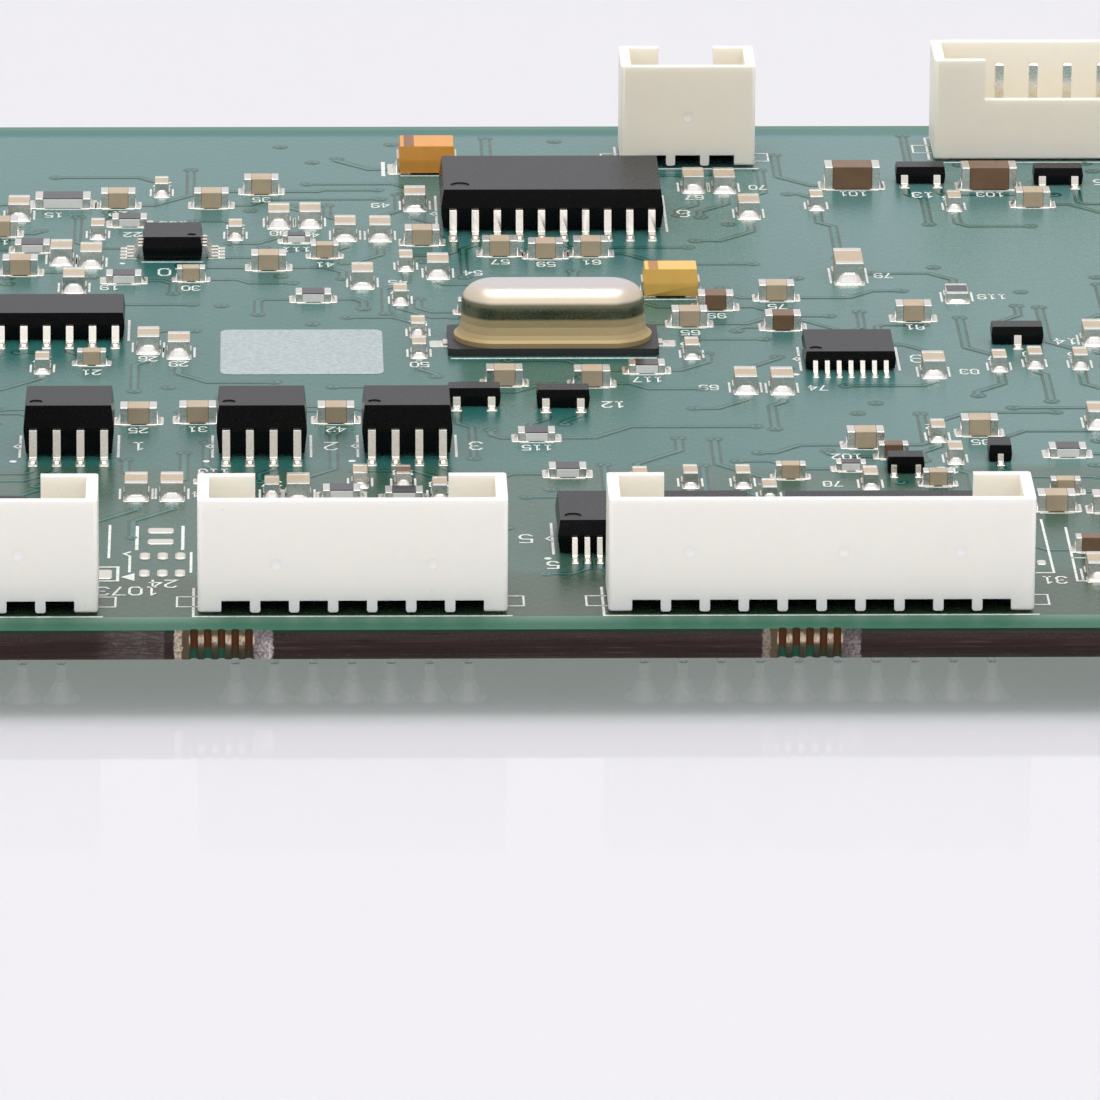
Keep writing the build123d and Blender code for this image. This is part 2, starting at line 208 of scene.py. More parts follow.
# ------------------------------------------------------------------ materials
def board_mask():
    """Green mask on both faces: bare rim, copper-free band behind the front headers, teal copper pour."""
    a = Mat("board_green_mask")
    x, y, z = a.xyz()
    ax = a.math("SUBTRACT", HALF_W, a.math("ABSOLUTE", x))
    ay = a.math("SUBTRACT", HALF_D, a.math("ABSOLUTE", y))
    near = a.math("MINIMUM", ax, ay)
    front = a.math("ADD", y, HALF_D)
    cloud = a.noise(0.10, 4, 0.6)
    fine = a.noise(2.2, 4, 0.65)
    patch = a.noise(0.22, 2, 0.5, offset=(3.0, 7.0, 0.0))
    pour = a.mix(cloud, (0.012, 0.098, 0.084), (0.024, 0.126, 0.112))
    # painted reflection: the pour is painted lighter to the right for a brighter sheen of the backdrop; it is also
    # lighter towards the back
    pour = a.mix(a.math("MULTIPLY", a.step(y, -5.0, 45.0), 0.75), pour, (0.055, 0.165, 0.155))
    pour = a.mix(a.math("MULTIPLY", a.step(x, 4.0, 32.0), 0.60), pour, (0.095, 0.205, 0.195))
    olive = a.mix(fine, (0.018, 0.044, 0.020), (0.032, 0.066, 0.036))
    middle = a.mix(patch, (0.026, 0.074, 0.046), (0.040, 0.104, 0.078))
    rim = a.mix(a.step(front, 0.70, 2.10), (0.003, 0.092, 0.048), (0.095, 0.195, 0.135))
    rim = a.mix(a.math("MULTIPLY", fine, 0.20), rim, (0.050, 0.190, 0.120))
    wander = a.math("MULTIPLY_ADD", a.noise(0.16, 2), 5.0, -2.5)
    f2 = a.math("ADD", front, wander)
    c = a.mix(a.step(f2, 8.2, 10.2), olive, middle)
    c = a.mix(a.step(a.math("ADD", front, a.math("MULTIPLY", wander, 0.5)), 27.0, 28.5), c, pour)
    c = a.mix(a.math("SUBTRACT", 1.0, a.step(front, 2.15, 2.25)), c, rim)
    c = a.mix(a.math("SUBTRACT", 1.0, a.step(near, 0.70, 0.78)), c, rim)
    # woven glass shows faintly through the mask
    wx = a.math("SINE", a.math("MULTIPLY", x, 6.2))
    wy = a.math("SINE", a.math("MULTIPLY", y, 6.2))
    weave = a.math("MULTIPLY", wx, wy)
    c = a.mix(a.math("MULTIPLY_ADD", weave, 0.03, 0.03), c, (0.07, 0.20, 0.15))
    # fine pale grains of dust and weave
    grain = a.noise(9.0, 2, 0.5)
    c = a.mix(a.math("MULTIPLY", a.step(grain, 0.66, 0.74), 0.35), c, (0.16, 0.20, 0.13))
    a.color(c)
    lip = a.math("SUBTRACT", 1.0, a.step(near, 1.60, 2.60))
    base = a.mix(fine, (0.23, 0.23, 0.23), (0.32, 0.32, 0.32))
    a.rough(a.mix(lip, base, (0.56, 0.56, 0.56)))
    a.bump(a.mix(0.35, a.noise(1.4, 3), weave), 0.010, 0.45)
    a.set(ior=1.52)
    return a.m


def laminate_edge():
    """Cut edge: brown-grey layers lying along the board, torn pale and rust-brown at the break-off tabs."""
    a = Mat("laminate_cut_edge")
    x, y, z = a.xyz()
    stripes = a.noise(1.0, 6, 0.72, stretch=(0.22, 0.22, 8.5))
    grain = a.noise(1.0, 5, 0.78, stretch=(4.5, 4.5, 18.0))
    level = a.math("DIVIDE", a.math("SUBTRACT", z, ZB), 1.57)
    c = a.ramp(level, [(0.02, (0.036, 0.031, 0.016)), (0.08, (0.020, 0.012, 0.009)), (0.22, (0.021, 0.010, 0.009)),
                       (0.50, (0.025, 0.010, 0.009)), (0.66, (0.030, 0.017, 0.015)), (0.84, (0.036, 0.024, 0.021))])
    c = a.mix(a.math("MULTIPLY", a.math("SUBTRACT", 1.0, a.step(stripes, 0.32, 0.50)), 0.75), c, (0.007, 0.003, 0.003))
    c = a.mix(a.math("MULTIPLY", a.step(stripes, 0.54, 0.70), 0.70), c, (0.076, 0.052, 0.045))
    # cut glass ends: pale points, most of them in the upper layers and in one thin row near the bottom
    rows = a.math("MAXIMUM", a.step(level, 0.52, 0.70), a.math("MULTIPLY", a.step(level, 0.09, 0.12), a.math("SUBTRACT", 1.0, a.step(level, 0.15, 0.19))))
    c = a.mix(a.math("MULTIPLY", a.step(grain, 0.52, 0.70), a.math("MULTIPLY_ADD", rows, 0.42, 0.10)), c, (0.150, 0.120, 0.108))
    c = a.mix(a.math("MULTIPLY", a.step(z, ZT - 0.24, ZT - 0.12), 0.92), c, (0.008, 0.032, 0.020))
    on_front = a.math("SUBTRACT", 1.0, a.step(y, -HALF_D + 0.30, -HALF_D + 0.32))
    in_hole = a.step(y, -HALF_D + 0.012, -HALF_D + 0.030)
    fib = a.noise(1.0, 4, 0.7, stretch=(8.0, 8.0, 3.0))
    fine = a.noise(6.0, 4, 0.75)
    jog = a.math("MULTIPLY_ADD", a.noise(3.4, 3, 0.7), 0.36, -0.18)
    jog_z = a.math("MULTIPLY_ADD", a.noise(2.6, 3, 0.7, offset=(5.0, 2.0, 9.0)), 0.60, -0.30)
    zj = a.math("ADD", z, jog_z)
    low = a.math("SUBTRACT", 1.0, a.step(zj, ZB + 0.50, ZB + 0.64))
    # frosted stretch to the left of the first tab
    fx = a.math("SUBTRACT", x, -0.72 + DX)
    zone = a.math("MULTIPLY", a.step(fx, -6.6, -5.2), a.math("SUBTRACT", 1.0, a.step(a.math("ADD", fx, jog), -3.0, -2.86)))
    streak = a.math("MULTIPLY", a.step(a.noise(1.0, 4, 0.7, stretch=(1.1, 1.1, 9.0)), 0.46, 0.62), a.step(fine, 0.34, 0.62))
    c = a.mix(a.math("MULTIPLY", a.math("MULTIPLY", zone, on_front), a.math("MULTIPLY_ADD", streak, 0.60, 0.18)), c, (0.150, 0.128, 0.120))
    for tx, side in ((-0.72, 1.0), (29.36, 0.45)):
        d0 = a.math("SUBTRACT", x, tx + DX)
        d = a.math("ADD", d0, jog)
        span = a.math("MULTIPLY", a.math("SUBTRACT", 1.0, a.step(a.math("ABSOLUTE", d0), 1.64, 1.74)), on_front)
        lj = a.math("DIVIDE", a.math("SUBTRACT", zj, ZB), 1.57)
        torn = a.ramp(lj, [(0.16, (0.018, 0.026, 0.016)), (0.34, (0.045, 0.040, 0.026)), (0.48, (0.120, 0.085, 0.055)),
                           (0.60, (0.56, 0.47, 0.35)), (0.74, (0.50, 0.40, 0.28)), (0.86, (0.10, 0.08, 0.040))])
        torn = a.mix(a.math("MULTIPLY", a.math("SUBTRACT", 1.0, a.step(fib, 0.38, 0.52)), 0.70), torn, (0.075, 0.045, 0.020))
        torn = a.mix(a.math("MULTIPLY", a.math("MULTIPLY", a.step(fine, 0.58, 0.70), a.step(lj, 0.30, 0.55)), 0.30), torn, (0.55, 0.50, 0.42))
        rust = a.mix(fib, (0.040, 0.013, 0.004), (0.120, 0.036, 0.009))
        green = a.mix(fine, (0.006, 0.040, 0.024), (0.020, 0.110, 0.062))
        moss = a.mix(fine, (0.020, 0.018, 0.008), (0.060, 0.052, 0.024))
        hole = a.mix(low, rust, a.mix(a.step(d0, 0.30, 0.40), green, moss))
        hole = a.mix(a.math("MULTIPLY", a.step(zj, ZT - 0.30, ZT - 0.16), 0.8), hole, (0.030, 0.028, 0.010))
        c = a.mix(span, c, a.mix(in_hole, torn, hole))
        beige = a.math("MULTIPLY", a.step(d, -2.46, -2.36), a.math("SUBTRACT", 1.0, a.step(d, -2.08, -1.96)))
        cream = a.mix(a.step(fine, 0.36, 0.60), (0.17, 0.14, 0.10), (0.50, 0.43, 0.33))
        c = a.mix(a.math("MULTIPLY", a.math("MULTIPLY", beige, on_front), side), c, cream)
        stem = a.math("MULTIPLY", a.step(d, -2.02, -1.94), a.math("SUBTRACT", 1.0, a.step(d0, -1.70, -1.64)))
        c = a.mix(a.math("MULTIPLY", stem, on_front), c, a.mix(fine, (0.040, 0.022, 0.010), (0.130, 0.090, 0.050)))
        ash = a.math("MULTIPLY", a.step(d0, 1.58, 1.70), a.math("SUBTRACT", 1.0, a.step(d, 2.56, 2.66)))
        rise = a.math("MULTIPLY", a.step(d, 1.60, 2.40), a.math("SUBTRACT", 1.0, a.step(level, 0.45, 0.95)))
        fleck = a.step(fine, 0.36, 0.64)
        amount = a.math("MULTIPLY", a.math("MULTIPLY_ADD", rise, 0.55, 0.35), a.math("MULTIPLY_ADD", fleck, 0.75, 0.20))
        c = a.mix(a.math("MULTIPLY", a.math("MULTIPLY", ash, on_front), a.math("MULTIPLY", amount, side)), c, (0.62, 0.56, 0.56))
    a.color(c)
    a.rough(a.ramp(grain, [(0.3, 0.50), (0.7, 0.72)]))
    a.bump(a.mix(0.5, stripes, grain), 0.030, 0.6)
    a.set(ior=1.5, spec=0.18)
    return a.m


def mask_over(name, c0, c1):
    a = Mat(name)
    a.color(a.mix(a.noise(0.5, 3), c0, c1))
    a.rough(a.ramp(a.noise(1.6, 2), [(0.3, 0.20), (0.7, 0.30)]))
    a.bump(a.noise(1.3, 2), 0.006, 0.5)
    a.set(ior=1.52)
    return a.m


def tin(name, c0, c1, r0, r1, scale=9.0, bump=0.012):
    a = Mat(name)
    a.set(metal=1.0)
    n = a.noise(scale, 4, 0.6)
    a.color(a.mix(a.noise(scale * 0.3, 3), c0, c1))
    a.rough(a.ramp(n, [(0.3, r0), (0.7, r1)]))
    a.bump(n, bump, 0.6)
    return a.m


def pin_tin():
    """Square pins: bright in the shroud, with painted shade: black where they pass the slots and grey at the tips under
    the board.
    """
    a = Mat("tin_plated_pins")
    a.set(metal=1.0)
    x, y, z = a.xyz()
    c = a.mix(a.noise(2.7, 3), (0.74, 0.72, 0.66), (0.84, 0.82, 0.77))
    # painted shade: the part of each pin inside the shroud's slots is painted black
    pin_slot_shade = a.math("MULTIPLY", a.step(z, ZT - 0.05, ZT), a.math("SUBTRACT", 1.0, a.step(z, ZT + 0.76, ZT + 0.80)))
    c = a.mix(pin_slot_shade, c, (0.010, 0.010, 0.010))
    # painted shade: the tips under the board are painted grey
    c = a.mix(a.math("SUBTRACT", 1.0, a.step(z, 0.30, 0.80)), c, (0.40, 0.43, 0.42))
    a.color(c)
    a.rough(a.ramp(a.noise(9.0, 4, 0.6), [(0.3, 0.18), (0.7, 0.32)]))
    a.bump(a.noise(9.0, 4, 0.6), 0.012, 0.6)
    return a.m


def joint_solder():
    """Bright cones under the board; painted shade: the collars inside the shroud's slots are painted dark."""
    a = Mat("bright_solder")
    a.set(metal=1.0)
    x, y, z = a.xyz()
    c = a.mix(a.noise(1.2, 3), (0.68, 0.68, 0.67), (0.82, 0.82, 0.81))
    # painted shade: solder near the board's top face, inside the slots, is painted dark
    a.color(a.mix(a.step(z, ZT - 0.10, ZT - 0.02), c, (0.012, 0.012, 0.011)))
    n = a.noise(4.0, 4, 0.6)
    a.rough(a.ramp(n, [(0.3, 0.18), (0.7, 0.34)]))
    a.bump(n, 0.02, 0.6)
    return a.m


def nylon(k, n, hx, hy, turned, dimples):
    a = Mat("header_ivory_nylon_%d" % k)
    x, y, z = a.xyz()
    cloud = a.noise(0.35, 4, 0.6)
    # the two rear headers are a yellower batch than the front ones
    pale, full = ((0.915, 0.835, 0.730), (0.885, 0.800, 0.690)) if k >= 4 else ((0.858, 0.836, 0.792), (0.825, 0.800, 0.752))
    c = a.mix(cloud, full, pale)
    # painted light: inside the shroud, above the slots, the plastic is painted a warmer, brighter ivory for light
    # shining through the thin walls
    height = a.math("SUBTRACT", z, ZT + 0.13)
    nrm = a.t.nodes.new("ShaderNodeSeparateXYZ")
    a.link(a.geo.outputs["Normal"], nrm.inputs[0])
    y0, y1 = hy + DY, hy + 4.8 + DY
    inner_glow = a.math("MULTIPLY", a.step(y, y0 + 0.50, y0 + 0.56), a.math("SUBTRACT", 1.0, a.step(y, y1 - 0.56, y1 - 0.50)))
    inner_glow = a.math("MULTIPLY", inner_glow, a.step(height, 1.5, 1.7))
    c = a.mix(a.math("MULTIPLY", inner_glow, 0.8), c, (0.945, 0.895, 0.79))
    # a few fine dark specks of dust
    spk = a.voronoi(1.15)
    dots = a.math("SUBTRACT", 1.0, a.step(spk, 0.035, 0.060))
    rare = a.step(a.noise(0.9, 2), 0.58, 0.66)
    c = a.mix(a.math("MULTIPLY", a.math("MULTIPLY", dots, rare), 0.55), c, (0.20, 0.15, 0.10))
    # moulding marks on the front wall: small round dimples, with a painted highlight (a bluish-white spot, stronger in
    # the lower half) and a painted shade ring round it
    face_y = y1 if turned else y0
    for dx, dz in dimples:
        px = hx + DX + ((n - 1) * 2 - dx if turned else dx)
        q = a.math("ADD", a.math("POWER", a.math("SUBTRACT", x, px), 2.0), a.math("POWER", a.math("SUBTRACT", height, dz), 2.0))
        r = a.math("SQRT", q)
        face = a.math("SUBTRACT", 1.0, a.step(a.math("ABSOLUTE", a.math("SUBTRACT", y, face_y)), 0.10, 0.14))
        disc = a.math("MULTIPLY", a.math("SUBTRACT", 1.0, a.step(r, 0.20, 0.27)), face)
        painted_shade_ring = a.math("MULTIPLY", a.math("MULTIPLY", a.step(r, 0.18, 0.27), a.math("SUBTRACT", 1.0, a.step(r, 0.28, 0.40))), face)
        lower = a.math("SUBTRACT", 1.0, a.step(height, dz - 0.12, dz + 0.06))
        # painted highlight in the dimple
        c = a.mix(a.math("MULTIPLY", disc, a.math("MULTIPLY_ADD", lower, 0.35, 0.25)), c, (0.90, 0.93, 0.99))
        # painted shade ring round the dimple
        c = a.mix(a.math("MULTIPLY", painted_shade_ring, 0.10), c, (0.62, 0.60, 0.58))
    # painted shade: the deep slots under the pins are painted black
    sy0, sy1 = (y1 - 3.46, y1 - 0.03) if turned else (y0 + 0.03, y0 + 3.46)
    sx0, sx1 = hx + DX - 0.76, hx + DX + (n - 1) * 2 + 0.76
    housing_slot_shade = a.math("MULTIPLY", a.step(y, sy0, sy0 + 0.12), a.math("SUBTRACT", 1.0, a.step(y, sy1 - 0.02, sy1)))
    housing_slot_shade = a.math("MULTIPLY", housing_slot_shade, a.math("MULTIPLY", a.step(x, sx0, sx0 + 0.02), a.math("SUBTRACT", 1.0, a.step(x, sx1 - 0.02, sx1))))
    housing_slot_shade = a.math("MULTIPLY", housing_slot_shade, a.math("SUBTRACT", 1.0, a.step(height, 0.64, 0.66)))
    c = a.mix(housing_slot_shade, c, (0.006, 0.006, 0.006))
    a.color(c)
    a.rough(a.ramp(a.noise(5.0, 3), [(0.3, 0.40), (0.7, 0.52)]))
    a.bump(a.noise(7.0, 3), 0.008, 0.35)
    a.set(ior=1.50, sss=0.45, sss_scale=0.0011, sss_radius=(1.0, 0.80, 0.52))
    return a.m


def epoxy(name, c0, c1, r0=0.36, r1=0.50, grain=14.0, depth=0.010, spec=0.5, top=None):
    a = Mat(name)
    c = a.mix(a.noise(1.2, 3), c0, c1)
    if top:
        # painted reflection: the upper face is painted a greyer black than the sides, standing in for the sky's
        # reflection on it
        nrm = a.t.nodes.new("ShaderNodeSeparateXYZ")
        a.link(a.geo.outputs["Normal"], nrm.inputs[0])
        c = a.mix(a.step(nrm.outputs[2], 0.7, 0.9), c, top)
    a.color(c)
    n = a.noise(grain, 4, 0.65)
    a.rough(a.ramp(n, [(0.3, r0), (0.7, r1)]))
    a.bump(n, depth, 0.6)
    a.set(ior=1.55, spec=spec)
    return a.m


def can_metal():
    """Nickel-plated can with painted reflection by height: neutral grey top, a cream highlight round the shoulder, a
    dark band of the board on the wall, gold on the skirt.
    """
    a = Mat("plated_can")
    x, y, z = a.xyz()
    h = a.math("SUBTRACT", z, ZT)
    t = a.math("DIVIDE", h, 4.0)
    # painted reflection: these bands stand in for what the bright can reflects, the cream one for the overhead light's
    # highlight
    c = a.ramp(t, [(0.12, (0.40, 0.29, 0.125)), (0.47, (0.47, 0.355, 0.175)), (0.50, (0.13, 0.13, 0.070)),
                   (0.69, (0.11, 0.117, 0.066)), (0.73, (0.66, 0.56, 0.42)), (0.86, (0.70, 0.62, 0.52)), (0.90, (0.70, 0.64, 0.63))])
    n = a.noise(3.0, 4, 0.6)
    c = a.mix(a.math("MULTIPLY", n, 0.08), c, (0.90, 0.87, 0.82))
    a.color(c)
    # the skirt is satin and picks up more of the light in front of it than the wall does
    a.link(a.ramp(t, [(0.46, 0.45), (0.50, 1.0)]), a.b.inputs["Metallic"])
    a.rough(a.mix(0.25, a.ramp(t, [(0.46, 0.42), (0.50, 0.20), (0.70, 0.20), (0.74, 0.42), (0.90, 0.26)]), n))
    a.bump(n, 0.004, 0.5)
    return a.m


def banded_epoxy(name, c0, c1, stripe, centre_x, lo, hi):
    """Moulding with a printed polarity bar across one end."""
    a = Mat(name)
    x, y, z = a.xyz()
    d = a.math("SUBTRACT", x, centre_x)
    bar = a.math("MULTIPLY", a.step(d, lo - 0.03, lo + 0.03), a.math("SUBTRACT", 1.0, a.step(d, hi - 0.03, hi + 0.03)))
    nrm = a.t.nodes.new("ShaderNodeSeparateXYZ")
    a.link(a.geo.outputs["Normal"], nrm.inputs[0])
    bar = a.math("MULTIPLY", bar, a.step(nrm.outputs[2], 0.6, 0.8))
    base = a.mix(a.noise(1.5, 3), c0, c1)
    a.color(a.mix(bar, base, stripe))
    n = a.noise(12.0, 3)
    a.rough(a.ramp(n, [(0.3, 0.30), (0.7, 0.42)]))
    a.bump(n, 0.008, 0.5)
    return a.m


def ink(name="silkscreen_white_ink", c0=(0.60, 0.63, 0.57), c1=(0.84, 0.85, 0.81)):
    a = Mat(name)
    n = a.noise(3.5, 4, 0.7)
    a.color(a.mix(a.step(n, 0.35, 0.62), c0, c1))
    a.rough(a.ramp(n, [(0.3, 0.42), (0.7, 0.6)]))
    a.bump(n, 0.006, 0.5)
    return a.m


def card_mat():
    """White card under the glass."""
    a = Mat("white_card")
    a.color(a.mix(a.noise(0.004, 2), (0.645, 0.612, 0.655), (0.665, 0.632, 0.675)))
    a.rough(a.ramp(a.noise(0.05, 2), [(0.3, 0.85), (0.7, 0.95)]))
    a.set(ior=1.3, spec=0.0)
    a.b.inputs["Emission Color"].default_value = (0.90, 1.0, 0.93, 1)
    a.b.inputs["Emission Strength"].default_value = 0.225
    return a.m


def glass_top_mat():
    """Clear sheet the board stands on: what isn't mirrored passes straight through."""
    a = Mat("clear_table_top")
    a.t.nodes.remove(a.b)
    out = a.t.nodes["Material Output"]
    fr = a.t.nodes.new("ShaderNodeFresnel")
    fr.inputs["IOR"].default_value = 1.46
    clear = a.t.nodes.new("ShaderNodeBsdfTransparent")
    gloss = a.t.nodes.new("ShaderNodeBsdfGlossy")
    a.link(a.ramp(a.noise(0.05, 2), [(0.3, 0.045), (0.7, 0.065)]), gloss.inputs["Roughness"])
    mix = a.t.nodes.new("ShaderNodeMixShader")
    a.link(fr.outputs[0], mix.inputs[0])
    a.link(clear.outputs[0], mix.inputs[1])
    a.link(gloss.outputs[0], mix.inputs[2])
    a.link(mix.outputs[0], out.inputs["Surface"])
    return a.m


M_BOARD = board_mask()
M_EDGE = laminate_edge()
M_TRACE = mask_over("mask_over_copper_track", (0.018, 0.120, 0.098), (0.030, 0.150, 0.125))
M_GAP = mask_over("mask_over_bare_laminate", (0.007, 0.046, 0.032), (0.012, 0.060, 0.042))
M_TIN = tin("tin_plated_leads", (0.70, 0.66, 0.58), (0.80, 0.77, 0.70), 0.24, 0.40)
M_ENDS = tin("solder_wetted_ends", (0.66, 0.64, 0.60), (0.82, 0.80, 0.76), 0.22, 0.42, 6.0, 0.02)
M_PIN = pin_tin()
M_SOLDER = joint_solder()
M_PAD = tin("tinned_pads", (0.72, 0.68, 0.60), (0.84, 0.81, 0.74), 0.30, 0.50, 5.0, 0.02)
DIMPLES = [((9.9, 3.1), (2.0, 3.1)), ((2.1, 2.57), (10.1, 2.57)), ((2.2, 3.2), (10.1, 3.2), (16.1, 3.2)),
           ((2.0, 3.0),), ((2.1, 3.0), (10.1, 3.0))]
M_NYLON = {}
for k, (stem, head) in enumerate(zip(("left", "middle", "right", "rear_small", "rear_wide"), HEADERS)):
    M_NYLON[stem + "_header_housing"] = nylon(k + 1, *head, DIMPLES[k])
# painted reflection: the last colour greys the upper faces of the black mouldings
M_IC = epoxy("black_epoxy_moulding", (0.0012, 0.0011, 0.0014), (0.0028, 0.0026, 0.0032), 0.22, 0.31, 14.0, 0.007, 0.13,
             (0.010, 0.010, 0.012))
M_XBASE = epoxy("black_base_plastic", (0.010, 0.010, 0.011), (0.018, 0.017, 0.017), 0.4, 0.6)
M_CAN = can_metal()
M_CAP = epoxy("tan_capacitor_ceramic", (0.40, 0.30, 0.19), (0.52, 0.42, 0.29), 0.35, 0.5, 8.0)
M_BROWN = epoxy("brown_capacitor_ceramic", (0.13, 0.065, 0.028), (0.20, 0.11, 0.055), 0.35, 0.5, 8.0)
M_ALU = epoxy("white_alumina", (0.72, 0.71, 0.67), (0.82, 0.81, 0.78), 0.45, 0.6, 8.0)
M_COAT = epoxy("black_resistor_glaze", (0.010, 0.010, 0.013), (0.022, 0.022, 0.028), 0.16, 0.28, 6.0, 0.006)
M_ORANGE = banded_epoxy("orange_moulding", (0.62, 0.25, 0.035), (0.74, 0.33, 0.055), (0.22, 0.08, 0.02), 11.1 + DX, -1.35, -0.75)
M_YELLOW = banded_epoxy("yellow_moulding", (0.74, 0.42, 0.08), (0.84, 0.52, 0.13), (0.40, 0.17, 0.03), 24.45 + DX, -1.25, -0.70)
M_INK = ink()
M_THIN_INK = ink("thin_write_on_ink", (0.30, 0.36, 0.36), (0.42, 0.47, 0.47))
M_VIA = mask_over("via_shadow", (0.004, 0.016, 0.010), (0.007, 0.022, 0.014))

TABLE = {"crystal_can": M_CAN, "crystal_base": M_XBASE, "tantalum_capacitor_orange": M_ORANGE,
         "tantalum_capacitor_yellow": M_YELLOW, "chip_capacitor_bodies": M_CAP, "brown_capacitor_bodies": M_BROWN,
         "chip_resistor_bodies": M_ALU, "chip_resistor_coats": M_COAT, "board": M_BOARD}
BEVEL = {}
for name, ob in NODES.items():
    mat = TABLE.get(name)
    if mat is None:
        if name.endswith("_housing"):
            mat = M_NYLON[name]
        elif name.endswith("_pins"):
            mat = M_PIN
        elif name.endswith("_solder"):
            mat = M_SOLDER
        elif name.startswith(("chip_", "brown_")):
            mat = M_ENDS
        elif name.endswith(("_leads", "_terminals")):
            mat = M_TIN
        else:
            mat = M_IC
    ob.data.materials.clear()
    ob.data.materials.append(mat)
    if name == "board":
        # the cut edges and hole walls show laminate
        ob.data.materials.append(M_EDGE)
        normals = np.zeros(len(ob.data.polygons) * 3, np.float32)
        ob.data.polygons.foreach_get("normal", normals)
        ob.data.polygons.foreach_set("material_index", (np.abs(normals[2::3]) < 0.5).astype(np.int32))
    width = 0.0
    if name.endswith("_housing"):
        width = 0.05
    elif name.startswith(("chip_", "brown_")) and not name.endswith("coats"):
        width = 0.05
    elif name.endswith(("_body", "_bodies")) or name.startswith("tantalum_capacitor"):
        width = 0.06
    elif name.endswith("_leads"):
        width = 0.02
    elif name == "board":
        width = 0.0
    if width:
        w = ob.modifiers.new("weld", "WELD")
        w.merge_threshold = 1e-6
        b = ob.modifiers.new("soft_edges", "BEVEL")
        b.width = width / 1000
        b.segments = 2
        b.limit_method = "ANGLE"
        b.angle_limit = math.radians(35)
        b.harden_normals = True


